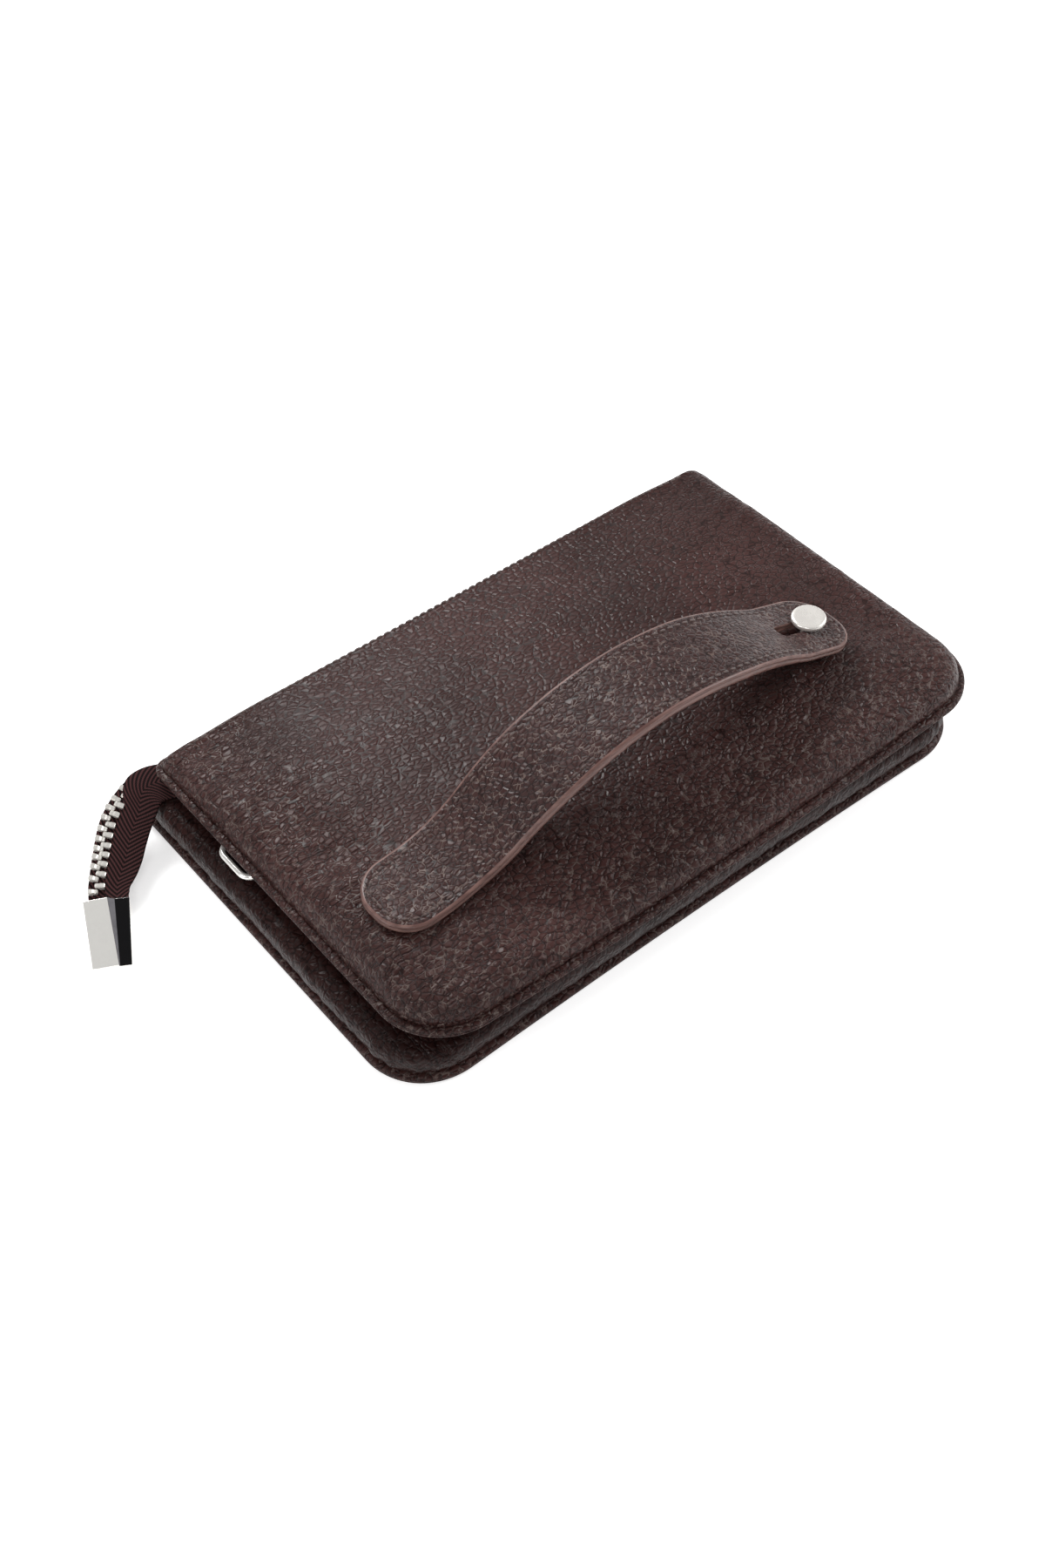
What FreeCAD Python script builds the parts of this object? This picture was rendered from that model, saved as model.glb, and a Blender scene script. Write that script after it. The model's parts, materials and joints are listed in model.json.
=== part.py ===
import FreeCAD, Part
import math
import os
import Sketcher

# Zippered leather pouch with a hand strap, lying on its back panel.
# +X runs along the pouch, +Y points to the zipped edge, +Z is up, millimetres.
# The origin is the centre of the back panel's outer face.

Vector = FreeCAD.Vector
X_AXIS, Y_AXIS, Z_AXIS = Vector(1, 0, 0), Vector(0, 1, 0), Vector(0, 0, 1)

document = FreeCAD.newDocument("pouch")

# ---------------------------------------------------------------- driving dimensions
SIZES = {
    # leaves, measured at their seam lines
    "seam_length": 230, "seam_width": 141, "near_radius": 20, "far_radius": 9,
    "front_shift_x": 5, "front_shift_y": -1,
    "leather": 1.4, "board": 1.0, "cloth": 0.5, "layer_gap": 0.1,
    "back_rim": 3.0, "lip_bottom": 19.5, "crown_top": 31.5, "crown_fillet": 8,
    "layer_inset": 2, "back_board_inset": 3, "cloth_level": 1.4, "board_level": 2, "padding_level": 3.1,
    # gusset: a U of leather, its lower half rolled, its middle folded inwards
    "roll_bottom": 3.3, "roll_height": 9.7, "roll_width": 11, "roll_end": 2, "web_top": 19.3,
    "fold_near": 9, "fold_far": 24, "fold_end": 58, "fold_corner": 12, "web_thickness": 1.6,
    # zip: two tapes, their teeth, a slider with its pull, and end stops
    "tape_thickness": 0.6, "chain_offset": 66, "chain_height": 11.5,
    "tape_near": 58, "tape_half_length": 101,
    "tooth_pitch": 3.3, "tooth_length": 1.5, "tooth_depth": 2.8, "tooth_reach": 3.2,
    "tooth_bite": 0.6, "chain_half_length": 88,
    "slider_length": 9, "slider_height": 9, "slider_depth": 5.6, "slider_plate": 1.1,
    "slider_neck": 1.2, "bridge_foot": 2.6, "bridge_width": 2, "bridge_wall": 1, "bridge_reach": 3.4,
    "slider_rest": 95.5, "stop_rest": 102, "stop_length": 2, "stop_height": 3, "stop_gap": 0.5,
    "pull_length": 22, "pull_width": 7, "pull_thickness": 1.4, "pull_bar": 1.2, "pull_eye": 3.4,
    "pull_corner": 2,
    # zip tail: both tape halves folded together and ended by a metal cap
    "tail_tape_short": 1, "tail_tape_gap": 0.3, "tail_tooth_depth": 1.8, "tail_tooth_foot": 0.5,
    "tail_tooth_reach": 1.6, "cap_width": 14, "cap_length": 21, "cap_base": -3.3, "cap_well": 3.5,
    # hand strap
    "strap_width": 28, "strap_layer": 1.5, "strap_line": -27.5,
    "strap_left": -105, "strap_right": 85.4, "strap_corner": 12.5,
    "sewn_level": 33.35, "rise_start": -86, "rise_radius": 46, "crest_radius": 100, "crest_angle": 36,
    "fall_radius": 112, "fall_angle": 30, "run_out_radius": 60, "tip_slope": 16,
    "arm_start": -80, "joint_gap": 0.8,
    "slot_width": 4.8, "slot_start": 60.5,
    # stud that holds the strap's free end
    "stud_line": 73.6, "neck_diameter": 4, "stud_cap_diameter": 11.5, "stud_cap_thickness": 1.8,
    "stud_cap_bottom": 42.4, "stud_cap_edge": 0.5, "collar_rim": 1.5, "collar_height": 0.8,
    "shank_diameter": 3, "shank_length": 4.6, "stud_well": 7,
    "washer_diameter": 8, "washer_thickness": 0.5, "nut_diameter": 6, "nut_thickness": 2,
    # D-ring in the left-hand fold
    "ring_wire": 2, "ring_width": 19.5, "ring_line": 24, "ring_bar": -103.5, "ring_level": 16.2,
    "ring_reach": 10, "ring_bar_bend": 1.6, "ring_outer_bend": 4,
    "tab_thickness": 1.2, "tab_width": 10, "tab_reach": 8.8,
}

sheet = document.addObject("Spreadsheet::Sheet", "Sizes")
for row, (alias, number) in enumerate(SIZES.items(), start=1):
    sheet.set(f"A{row}", alias)
    sheet.set(f"B{row}", str(number))
    sheet.setAlias(f"B{row}", alias)
document.recompute()

parts = []


def size(alias):
    """The number that the sheet holds under an alias."""
    return float(sheet.get(alias))


def bind(target, **expressions):
    """Bind a feature's properties to expressions on the sheet."""
    for name, expression in expressions.items():
        target.setExpression(name, expression)


def keep(thing, node):
    """Name a finished sub-part and list it for export."""
    thing.Label = node
    parts.append(thing)
    return thing


def place(thing, x="0", y="0", z="0"):
    """Bind a sub-part's position to the sheet."""
    thing.setExpression("Placement.Base.x", x)
    thing.setExpression("Placement.Base.y", y)
    thing.setExpression("Placement.Base.z", z)


def solid_feature(node, shape, placement=None):
    """A sub-part whose shape comes from Part's own functions."""
    feature = document.addObject("Part::Feature", node)
    feature.Shape = shape
    feature.Placement = placement or FreeCAD.Placement()
    return keep(feature, node)


# ---------------------------------------------------------------- PartDesign helpers
def origin_plane(body, role):
    return next(item for item in body.Origin.OriginFeatures if item.Role == role)


def new_body(name):
    body = document.addObject("PartDesign::Body", name)
    document.recompute()
    return body


def new_sketch(body, name, role="XY_Plane", offset="0"):
    """A sketch on one of the body's origin planes, raised by an offset."""
    sketch = body.newObject("Sketcher::SketchObject", name)
    sketch.AttachmentSupport = (origin_plane(body, role), [""])
    sketch.MapMode = "FlatFace"
    sketch.setExpression("AttachmentOffset.Base.z", offset)
    return sketch


def rectangle_sketch(body, name, length, width, centre_y="0", offset="0"):
    """A rectangle centred on the sketch's vertical axis, its size bound to the sheet."""
    sketch = new_sketch(body, name, offset=offset)
    corners = [Vector(-10, -5, 0), Vector(10, -5, 0), Vector(10, 5, 0), Vector(-10, 5, 0)]
    for index, corner in enumerate(corners):
        sketch.addGeometry(Part.LineSegment(corner, corners[(index + 1) % 4]), False)
    for index in range(4):
        sketch.addConstraint(Sketcher.Constraint("Coincident", index, 2, (index + 1) % 4, 1))
    sketch.addConstraint(Sketcher.Constraint("Horizontal", 2))
    for index in (1, 3):
        sketch.addConstraint(Sketcher.Constraint("Vertical", index))
    sketch.addConstraint(Sketcher.Constraint("Symmetric", 0, 1, 0, 2, -2))
    driving = (
        ("length", Sketcher.Constraint("DistanceX", 0, 1, 0, 2, 20), length),
        ("width", Sketcher.Constraint("DistanceY", 1, 1, 1, 2, 10), width),
        ("top", Sketcher.Constraint("DistanceY", -1, 1, 1, 2, 5), f"({centre_y}) + ({width}) / 2"),
    )
    for label, constraint, expression in driving:
        index = sketch.addConstraint(constraint)
        sketch.renameConstraint(index, label)
        sketch.setExpression(f"Constraints.{label}", expression)
    return sketch


def polygon_sketch(body, name, points, role="XY_Plane", offset="0"):
    """A closed outline through points that are worked out from the sheet."""
    sketch = new_sketch(body, name, role, offset)
    count = len(points)
    for index, (first, second) in enumerate(points):
        after = points[(index + 1) % count]
        sketch.addGeometry(Part.LineSegment(Vector(first, second, 0), Vector(*after, 0)), False)
    for index in range(count):
        sketch.addConstraint(Sketcher.Constraint("Coincident", index, 2, (index + 1) % count, 1))
    return sketch


def circle_sketch(body, name, diameter, x="0", y="0", offset="0"):
    """A circle whose diameter and centre are bound to the sheet."""
    sketch = new_sketch(body, name, offset=offset)
    sketch.addGeometry(Part.Circle(Vector(1, 1, 0), Z_AXIS, 5), False)
    driving = (
        ("diameter", Sketcher.Constraint("Diameter", 0, 5), diameter),
        ("across", Sketcher.Constraint("DistanceX", -1, 1, 0, 3, 1), x),
        ("along", Sketcher.Constraint("DistanceY", -1, 1, 0, 3, 1), y),
    )
    for label, constraint, expression in driving:
        index = sketch.addConstraint(constraint)
        sketch.renameConstraint(index, label)
        sketch.setExpression(f"Constraints.{label}", expression)
    return sketch


def pad(body, sketch, length, symmetric=False):
    feature = body.newObject("PartDesign::Pad", sketch.Name + "_pad")
    feature.Profile = sketch
    if symmetric:
        feature.SideType = "Symmetric"
    feature.setExpression("Length", length)
    sketch.Visibility = False
    document.recompute()
    return feature


def pocket(body, sketch, depth, upwards=False):
    """Cut a sketch out of the body; it must take some material away."""
    before = body.Shape.Volume
    feature = body.newObject("PartDesign::Pocket", sketch.Name + "_pocket")
    feature.Profile = sketch
    feature.Reversed = upwards
    feature.setExpression("Length", depth)
    document.recompute()
    if not body.Shape.Volume < before - 1e-6:
        raise RuntimeError(f"{feature.Name} cuts nothing")
    return feature


def fillet(body, radius, chosen):
    """Round the edges of the body's last solid that a test picks."""
    base = body.Tip
    names = [f"Edge{number}" for number, edge in enumerate(base.Shape.Edges, 1) if chosen(edge)]
    feature = body.newObject("PartDesign::Fillet", f"{body.Name}_fillet_{len(body.Group)}")
    feature.Base = (base, names)
    feature.setExpression("Radius", radius)
    document.recompute()
    return feature


def upright(edge):
    ends = [vertex.Point for vertex in edge.Vertexes]
    if len(ends) != 2:
        return False
    run = ends[1] - ends[0]
    return abs(run.z) > 0.99 * run.Length


def upright_near(edge):
    return upright(edge) and edge.CenterOfMass.y < 0


def upright_far(edge):
    return upright(edge) and edge.CenterOfMass.y > 0


def rounded_plate(name, inset, thickness):
    """A body with a leaf's outline, drawn in by an inset and padded to a thickness."""
    body = new_body(name)
    length, width = f"Sizes.seam_length - 2 * ({inset})", f"Sizes.seam_width - 2 * ({inset})"
    pad(body, rectangle_sketch(body, name + "_outline", length, width), thickness)
    fillet(body, f"Sizes.near_radius - ({inset})", upright_near)
    fillet(body, f"Sizes.far_radius - ({inset})", upright_far)
    return body


def flat_layer(node, inset, thickness, level, on_front):
    """A board or cloth layer of one leaf."""
    body = rounded_plate(node, inset, thickness)
    shift_x, shift_y = ("Sizes.front_shift_x", "Sizes.front_shift_y") if on_front else ("0", "0")
    place(body, shift_x, shift_y, level)
    return keep(body, node)


# ---------------------------------------------------------------- back leaf
def make_back_panel():
    """Leather tray: the flat back with its edge turned up to the lower seam."""
    body = rounded_plate("back_panel", "0", "Sizes.back_rim")
    length, width = "Sizes.seam_length - 2 * Sizes.leather", "Sizes.seam_width - 2 * Sizes.leather"
    hollow = rectangle_sketch(body, "back_hollow", length, width, offset="Sizes.leather")
    pocket(body, hollow, "Sizes.back_rim", upwards=True)
    return keep(body, "back_panel")


def fold_outline(inset):
    """Open U-shaped line of the inward fold, deeper towards the zip, drawn in by an inset."""
    near = size("seam_width") / -2 + size("fold_near") + inset
    near_x = size("seam_length") / 2 - size("fold_near") - inset
    far_x = size("seam_length") / 2 - size("fold_far") - inset
    corner = size("fold_corner")
    left = [(-far_x, size("fold_end")), (-near_x, near + corner), (corner - near_x, near)]
    return left + [(-x, y) for x, y in left[::-1]]


def make_gusset():
    """U-shaped gusset: a rolled lower half round three sides, then the inward fold above it."""
    body = new_body("gusset")
    outline = rectangle_sketch(body, "roll_outline", "Sizes.seam_length", "Sizes.seam_width",
                               offset="Sizes.roll_bottom")
    pad(body, outline, "Sizes.roll_height")
    fillet(body, "Sizes.near_radius", upright_near)
    inner = rectangle_sketch(
        body, "roll_inner", "Sizes.seam_length - 2 * Sizes.roll_width", "Sizes.seam_width",
        centre_y="Sizes.roll_width", offset="Sizes.roll_bottom")
    pocket(body, inner, "Sizes.roll_height", upwards=True)
    clear = rectangle_sketch(body, "roll_end", "Sizes.seam_length + 2", "2 * Sizes.roll_end",
                             centre_y="Sizes.seam_width / 2", offset="Sizes.roll_bottom")
    pocket(body, clear, "Sizes.roll_height", upwards=True)
    outer = fold_outline(0)
    inner = fold_outline(size("web_thickness"))
    fold = polygon_sketch(body, "fold_outline", outer + inner[::-1],
                          offset="Sizes.roll_bottom + Sizes.roll_height - 1")
    pad(body, fold, "Sizes.web_top - Sizes.roll_bottom - Sizes.roll_height + 1")
    return keep(body, "gusset")


# ---------------------------------------------------------------- front leaf
def make_dome(name, inset, bottom, top_drop):
    """The puffed leaf's outline as a solid, its upper edge rounded over."""
    body = rounded_plate(name, inset, f"Sizes.crown_top - ({top_drop}) - ({bottom})")
    top = body.Shape.BoundBox.ZMax
    fillet(body, f"Sizes.crown_fillet - ({inset})", lambda edge: edge.BoundBox.ZMin > top - 0.01)
    place(body, "Sizes.front_shift_x", "Sizes.front_shift_y", bottom)
    return body


def make_front_panel():
    """Leather shell of the front leaf, open below, with a hole for the stud's shank."""
    outer = make_dome("front_outer", "0", "Sizes.lip_bottom", "0")
    inner = make_dome("front_inner", "Sizes.leather", "Sizes.lip_bottom - 1", "Sizes.leather")
    hole = document.addObject("Part::Cylinder", "front_shank_hole")
    bind(hole, Radius="Sizes.shank_diameter / 2 + Sizes.layer_gap", Height="Sizes.crown_top")
    place(hole, "Sizes.front_shift_x + Sizes.stud_line", "Sizes.front_shift_y + Sizes.strap_line", "1")
    tools = document.addObject("Part::Fuse", "front_hollow")
    tools.Base, tools.Tool = inner, hole
    shell = document.addObject("Part::Cut", "front_panel")
    shell.Base, shell.Tool = outer, tools
    return keep(shell, "front_panel")


def make_front_padding():
    """Foam that fills the front leaf, with a well round the stud's fastener."""
    inset = "Sizes.leather + Sizes.layer_gap"
    bottom = "Sizes.lip_bottom + Sizes.padding_level"
    body = make_dome("front_padding", inset, bottom, inset)
    well = circle_sketch(body, "stud_well", "Sizes.stud_cap_diameter", "Sizes.stud_line",
                         "Sizes.strap_line", f"Sizes.crown_top - ({bottom}) - Sizes.stud_well")
    pocket(body, well, "Sizes.stud_well + 1", upwards=True)
    return keep(body, "front_padding")


# ---------------------------------------------------------------- zip
def make_tape(node, on_front):
    """One zip tape: a flange sewn to its leaf and a wall that reaches the teeth."""
    body = new_body(node)
    thickness, near, chain = size("tape_thickness"), size("tape_near"), size("chain_offset")
    reach = size("tooth_reach") - size("tooth_bite")
    if on_front:
        base, direction, end = size("lip_bottom") + 0.9, -1, size("chain_height") + reach
    else:
        base, direction, end = size("back_rim") + 0.2, 1, size("chain_height") - reach
    inner, outer = base, base + direction * thickness
    points = [(near, inner), (near, outer), (chain - thickness / 2, outer),
              (chain - thickness / 2, end), (chain + thickness / 2, end), (chain + thickness / 2, inner)]
    profile = polygon_sketch(body, node + "_profile", points, role="YZ_Plane")
    pad(body, profile, "2 * Sizes.tape_half_length", symmetric=True)
    return keep(body, node)


def make_teeth(node, on_front):
    """One side's row of teeth, each clamped over its tape's bead."""
    pitch, length, depth = size("tooth_pitch"), size("tooth_length"), size("tooth_depth")
    reach, bite = size("tooth_reach"), size("tooth_bite")
    level = size("chain_height") - bite if on_front else size("chain_height") + bite - reach
    start = -size("chain_half_length") + (pitch / 2 if on_front else 0)
    count = int(2 * size("chain_half_length") / pitch)
    teeth = []
    for index in range(count):
        corner = Vector(start + index * pitch, size("chain_offset") - depth / 2, level)
        teeth.append(Part.makeBox(length, depth, reach, corner))
    return solid_feature(node, Part.makeCompound(teeth))


def make_stop(node, on_front):
    """A small metal clip that ends one side's row of teeth."""
    clip = document.addObject("Part::Box", node)
    bind(clip, Length="Sizes.stop_length", Width="Sizes.tooth_depth", Height="Sizes.stop_height")
    level = "Sizes.chain_height + Sizes.stop_gap"
    if not on_front:
        level = "Sizes.chain_height - Sizes.stop_gap - Sizes.stop_height"
    place(clip, "Sizes.stop_rest", "Sizes.chain_offset - Sizes.tooth_depth / 2", level)
    return clip


def make_slider():
    """Slider: two plates joined by a wedge between the tapes, with a bridge for the pull."""
    body = new_body("zip_slider_body")
    half_height, half_depth = size("slider_height") / 2, size("slider_depth") / 2
    inside, neck = half_depth - size("slider_plate"), size("slider_neck") / 2
    section = [(half_depth, -half_height), (half_depth, half_height), (inside, half_height),
               (inside, neck), (-inside, neck), (-inside, half_height),
               (-half_depth, half_height), (-half_depth, -half_height), (-inside, -half_height),
               (-inside, -neck), (inside, -neck), (inside, -half_height)]
    pad(body, polygon_sketch(body, "slider_section", section, role="YZ_Plane"),
        "Sizes.slider_length", symmetric=True)
    foot, reach = size("bridge_foot"), half_depth + size("bridge_reach")
    wall = size("bridge_wall")
    points = [(-foot, inside), (-foot, reach), (foot, reach), (foot, inside), (foot - wall, inside),
              (foot - wall, reach - wall), (wall - foot, reach - wall), (wall - foot, inside)]
    pad(body, polygon_sketch(body, "slider_bridge", points, offset="-Sizes.bridge_width / 2"),
        "Sizes.bridge_width")
    place(body, "Sizes.slider_rest", "Sizes.chain_offset", "Sizes.chain_height")
    return keep(body, "zip_slider_body")


def make_pull():
    """Flat metal pull, folded back along the zip, its eye round the slider's bridge."""
    body = new_body("zip_pull")
    centre = "Sizes.pull_length / 2 - Sizes.pull_bar / 2"
    pad(body, rectangle_sketch(body, "pull_outline", "Sizes.pull_width", "Sizes.pull_length", centre),
        "Sizes.pull_thickness")
    fillet(body, "Sizes.pull_corner", upright)
    eye = rectangle_sketch(body, "pull_eye", "Sizes.bridge_width + 1", "Sizes.pull_eye",
                           "(Sizes.pull_bar + Sizes.pull_eye) / 2", "-1")
    pocket(body, eye, "Sizes.pull_thickness + 2", upwards=True)
    # drawn flat, then turned so that its length lies along -X and its face looks along +Y
    body.Placement.Rotation = FreeCAD.Rotation(Z_AXIS * -1, X_AXIS * -1, Y_AXIS, "ZXY")
    middle = "(Sizes.slider_depth + Sizes.bridge_reach - Sizes.bridge_wall) / 2"
    place(body, "Sizes.slider_rest", f"Sizes.chain_offset + {middle} - Sizes.pull_thickness / 2",
          "Sizes.chain_height")
    return keep(body, "zip_pull")


# ---------------------------------------------------------------- zip tail
# stations of the folded tail: its middle, the way from its free edge to its teeth,
# and how far its free edge and its toothed edge stand from its middle
TAIL_ROUTE = [
    (Vector(-106, 64, 15.4), Vector(0.05, 0.98, 0.12), -5.7, 5.7),
    (Vector(-116, 66, 15.6), Vector(-0.15, 0.93, 0.22), -5.4, 7.0),
    (Vector(-126, 61, 12.6), Vector(-0.55, 0.78, 0.30), -6.2, 8.2),
    (Vector(-135.5, 52.8, 9.2), Vector(-0.75, 0.63, 0.20), -6.0, 7.6),
    (Vector(-142, 47.3, 7.1), Vector(-0.83, 0.55, 0.08), -5.0, 6.3),
    (Vector(-145.6, 42.2, 6.0), Vector(-0.88, 0.47, 0.02), -4.8, 5.7),
]
TAIL_SECTIONS = 14
CAP_HEADING, CAP_PITCH = 241.6, 7


def tail_curves():
    """Smooth curves through the middle of the tail and along its free and toothed edges."""
    middle, free, toothed = Part.BSplineCurve(), Part.BSplineCurve(), Part.BSplineCurve()
    middle.interpolate([station[0] for station in TAIL_ROUTE])
    for edge, column in ((free, 2), (toothed, 3)):
        edge.interpolate([station[0] + station[1].normalize() * station[column] for station in TAIL_ROUTE],
                         Parameters=middle.getKnots())
    return middle, free, toothed


def tail_frame(curves, parameter):
    """Middle, along, across and upward directions at a curve parameter, and both edges' places across."""
    middle, free, toothed = curves
    point = middle.value(parameter)
    along = Vector(*middle.tangent(parameter)[0]).normalize()
    across = (toothed.value(parameter) - point).normalize()
    across = (across - along * across.dot(along)).normalize()
    edges = [(edge.value(parameter) - point).dot(across) for edge in (free, toothed)]
    return point, along, across, along.cross(across) * -1, edges


def box_section(frame, low, high, bottom, top):
    """A closed rectangle across the tail: from low to high across it, bottom to top."""
    point, _along, across, upward, _edges = frame
    corners = [point + across * a + upward * b
               for a, b in ((low, bottom), (high, bottom), (high, top), (low, top))]
    return Part.makePolygon(corners + corners[:1])


def make_tail_tape(node, bottom):
    """One tape half of the tail, from inside the corner into the cap's mouth."""
    curves = tail_curves()
    first, last = curves[0].FirstParameter, curves[0].LastParameter
    sections = []
    for index in range(TAIL_SECTIONS + 1):
        frame = tail_frame(curves, first + (last - first) * index / TAIL_SECTIONS)
        free, toothed = frame[4]
        sections.append(box_section(frame, free, toothed - size("tail_tape_short"), bottom,
                                    bottom + size("tape_thickness")))
    return solid_feature(node, Part.makeLoft(sections, True, False))


def make_tail_teeth(node, start, bottom):
    """Teeth of one tape half; both halves' teeth alternate along the tail's outer edge."""
    curves = tail_curves()
    middle = curves[0]
    half_length = size("tooth_length") / 2
    first, last = middle.FirstParameter, middle.LastParameter
    count = int((middle.length() - 6) / size("tooth_pitch"))
    teeth = []
    for index in range(count):
        distance = start + (index + 0.5) * size("tooth_pitch")
        frame = tail_frame(curves, middle.parameterAtDistance(distance, first))
        edge = frame[4][1]
        section = box_section(frame, edge - size("tail_tooth_foot"), edge + size("tail_tooth_reach"),
                              bottom, bottom + size("tail_tooth_depth"))
        section.translate(frame[1] * -half_length)
        teeth.append(Part.Face(section).extrude(frame[1] * 2 * half_length))
    return solid_feature(node, Part.makeCompound(teeth))


def make_tail_cap():
    """Faceted wedge-shaped cap: a raised plane on the teeth side, a low one beside it."""
    half, length = size("cap_width") / 2, size("cap_length")
    base, well = size("cap_base"), size("cap_well") + 1
    mouth = [(-half, base), (half, base), (half, 1.9), (2.6, 2.3), (0.4, 3.7), (-half, 3.1)]
    tip = [(0.4 - half, base), (half - 0.4, base), (half - 0.4, -1.4), (2.9, -1.2), (2.5, -0.9),
           (0.4 - half, -1.1)]
    wires = []
    for distance, outline in ((0, mouth), (length, tip)):
        corners = [Vector(distance, across, up) for across, up in outline]
        wires.append(Part.makePolygon(corners + corners[:1]))
    block = Part.makeLoft(wires, True, True)
    tape_well = Part.makeBox(well, size("cap_width") - 2.4, 2.5, Vector(-1, 1.2 - half, -1.4))
    teeth_well = Part.makeBox(well, 4.4, 4.2, Vector(-1, 0.7 - half, -2.3))
    heading = FreeCAD.Rotation(Z_AXIS, CAP_HEADING) * FreeCAD.Rotation(Y_AXIS, CAP_PITCH)
    mouth_point = TAIL_ROUTE[-1][0] - heading.multVec(X_AXIS) * 1.5
    placement = FreeCAD.Placement(mouth_point, heading)
    return solid_feature("tail_cap", block.cut(tape_well.fuse(teeth_well)), placement)


# ---------------------------------------------------------------- D-ring and its tab
def make_ring_tab():
    """Leather tab sewn into the fold, looped round the ring's straight bar."""
    half_height = size("ring_wire") / 2 + 0.3 + size("tab_thickness") / 2
    outer = size("ring_bar") - half_height
    tab = Part.makeBox(size("tab_reach"), size("tab_width"), 2 * half_height,
                       Vector(outer, size("ring_line") - size("tab_width") / 2,
                              size("ring_level") - half_height))
    rounded = tab.makeFillet(half_height - 0.2, [edge for edge in tab.Edges
                                                 if edge.CenterOfMass.x < outer + 0.01
                                                 and abs(edge.CenterOfMass.z - size("ring_level")) > 1])
    hole = Part.makeCylinder(size("ring_wire") / 2 + 0.3, 2 * size("tab_width"),
                             Vector(size("ring_bar"), size("ring_line") - size("tab_width"),
                                    size("ring_level")), Y_AXIS)
    return solid_feature("d_ring_tab", rounded.cut(hole))


def make_d_ring():
    """Round-wire D-ring: a straight bar, two sides and a straight outer run, with bent corners."""
    wire, reach = size("ring_wire") / 2, size("ring_reach")
    half = size("ring_width") / 2 - wire
    inner, outer = size("ring_bar_bend"), size("ring_outer_bend")
    parts = [Part.makeCylinder(wire, 2 * (half - inner), Vector(0, inner - half, 0), Y_AXIS),
             Part.makeCylinder(wire, 2 * (half - outer), Vector(-reach, outer - half, 0), Y_AXIS)]
    for side in (-1, 1):
        parts.append(Part.makeCylinder(wire, reach - inner - outer, Vector(outer - reach, side * half, 0),
                                       Vector(1, 0, 0)))
        for bend, x in ((inner, -inner), (outer, outer - reach)):
            centre = Vector(x, side * (half - bend), 0)
            start = centre + Vector(0, side * bend, 0)
            section = Part.Face(Part.Wire(Part.makeCircle(wire, start, Vector(1, 0, 0))))
            parts.append(section.revolve(centre, Z_AXIS, side * (90 if bend == outer else -90)))
    place_at = FreeCAD.Placement(Vector(size("ring_bar"), size("ring_line"), size("ring_level")),
                                 FreeCAD.Rotation())
    return solid_feature("d_ring", parts[0].multiFuse(parts[1:]), place_at)


# ---------------------------------------------------------------- stud
def stud_place(thing, level):
    place(thing, "Sizes.front_shift_x + Sizes.stud_line", "Sizes.front_shift_y + Sizes.strap_line", level)


def make_stud():
    """Turned stud: cap, neck, a collar on the leather and a threaded shank below it."""
    body = new_body("strap_stud")
    rise, cap, edge = (size("stud_cap_bottom") - size("crown_top"), size("stud_cap_thickness"),
                       size("stud_cap_edge"))
    collar, collar_height = size("neck_diameter") / 2 + size("collar_rim"), size("collar_height")
    half_cap, half_neck, half_shank = (size(name) / 2 for name in
                                       ("stud_cap_diameter", "neck_diameter", "shank_diameter"))
    profile = [(0, -size("shank_length")), (half_shank, -size("shank_length")), (half_shank, 0),
               (collar, 0), (collar, collar_height), (half_neck, collar_height),
               (half_neck, rise), (half_cap, rise), (half_cap, rise + cap - edge),
               (half_cap - edge, rise + cap), (0, rise + cap)]
    sketch = polygon_sketch(body, "stud_profile", profile, role="XZ_Plane")
    turned = body.newObject("PartDesign::Revolution", "stud_turned")
    turned.Profile = sketch
    turned.ReferenceAxis = (sketch, ["V_Axis"])
    turned.Angle = 360
    document.recompute()
    stud_place(body, "Sizes.crown_top + 0.02")
    return keep(body, "strap_stud")


def make_disc(node, diameter, thickness, level):
    """A washer or nut round the stud's shank."""
    body = new_body(node)
    pad(body, circle_sketch(body, node + "_outline", diameter), thickness)
    hole = circle_sketch(body, node + "_hole", "Sizes.shank_diameter + 2 * Sizes.layer_gap")
    pocket(body, hole, thickness, upwards=True)
    stud_place(body, level)
    return keep(body, node)


# ---------------------------------------------------------------- hand strap
def polar(centre, radius, degrees):
    angle = math.radians(degrees)
    return centre + Vector(math.cos(angle), 0, math.sin(angle)) * radius


def arc_edge(centre, radius, start, end):
    ends = [polar(centre, radius, degrees) for degrees in (start, (start + end) / 2, end)]
    return Part.Arc(*ends).toShape()


def strap_line(offset):
    """Edges of the strap's long section from left to right, at a height above its middle line."""
    left, right, level = size("strap_left"), size("strap_right"), size("sewn_level")
    rise, crest, lift = size("rise_radius"), size("crest_radius"), size("crest_angle")
    fall, drop = size("fall_radius"), size("fall_angle")
    run_out, slope = size("run_out_radius"), size("tip_slope")
    rise_centre = Vector(size("rise_start"), 0, level + rise)
    crest_centre = polar(rise_centre, rise + crest, lift - 90)
    fall_centre = crest_centre - Z_AXIS * (fall - crest)
    run_centre = polar(fall_centre, fall + run_out, 90 - drop)
    start = Vector(left, 0, level + offset)
    edges = [
        Part.LineSegment(start, Vector(rise_centre.x, 0, level + offset)).toShape(),
        arc_edge(rise_centre, rise - offset, -90, lift - 90),
        arc_edge(crest_centre, crest + offset, lift + 90, 90),
        arc_edge(fall_centre, fall + offset, 90, 90 - drop),
        arc_edge(run_centre, run_out - offset, -90 - drop, -90 - slope),
    ]
    last = polar(run_centre, run_out - offset, -90 - slope)
    end = Vector(right, 0, last.z - (right - last.x) * math.tan(math.radians(slope)))
    edges.append(Part.LineSegment(last, end).toShape())
    return edges, start, end


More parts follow.
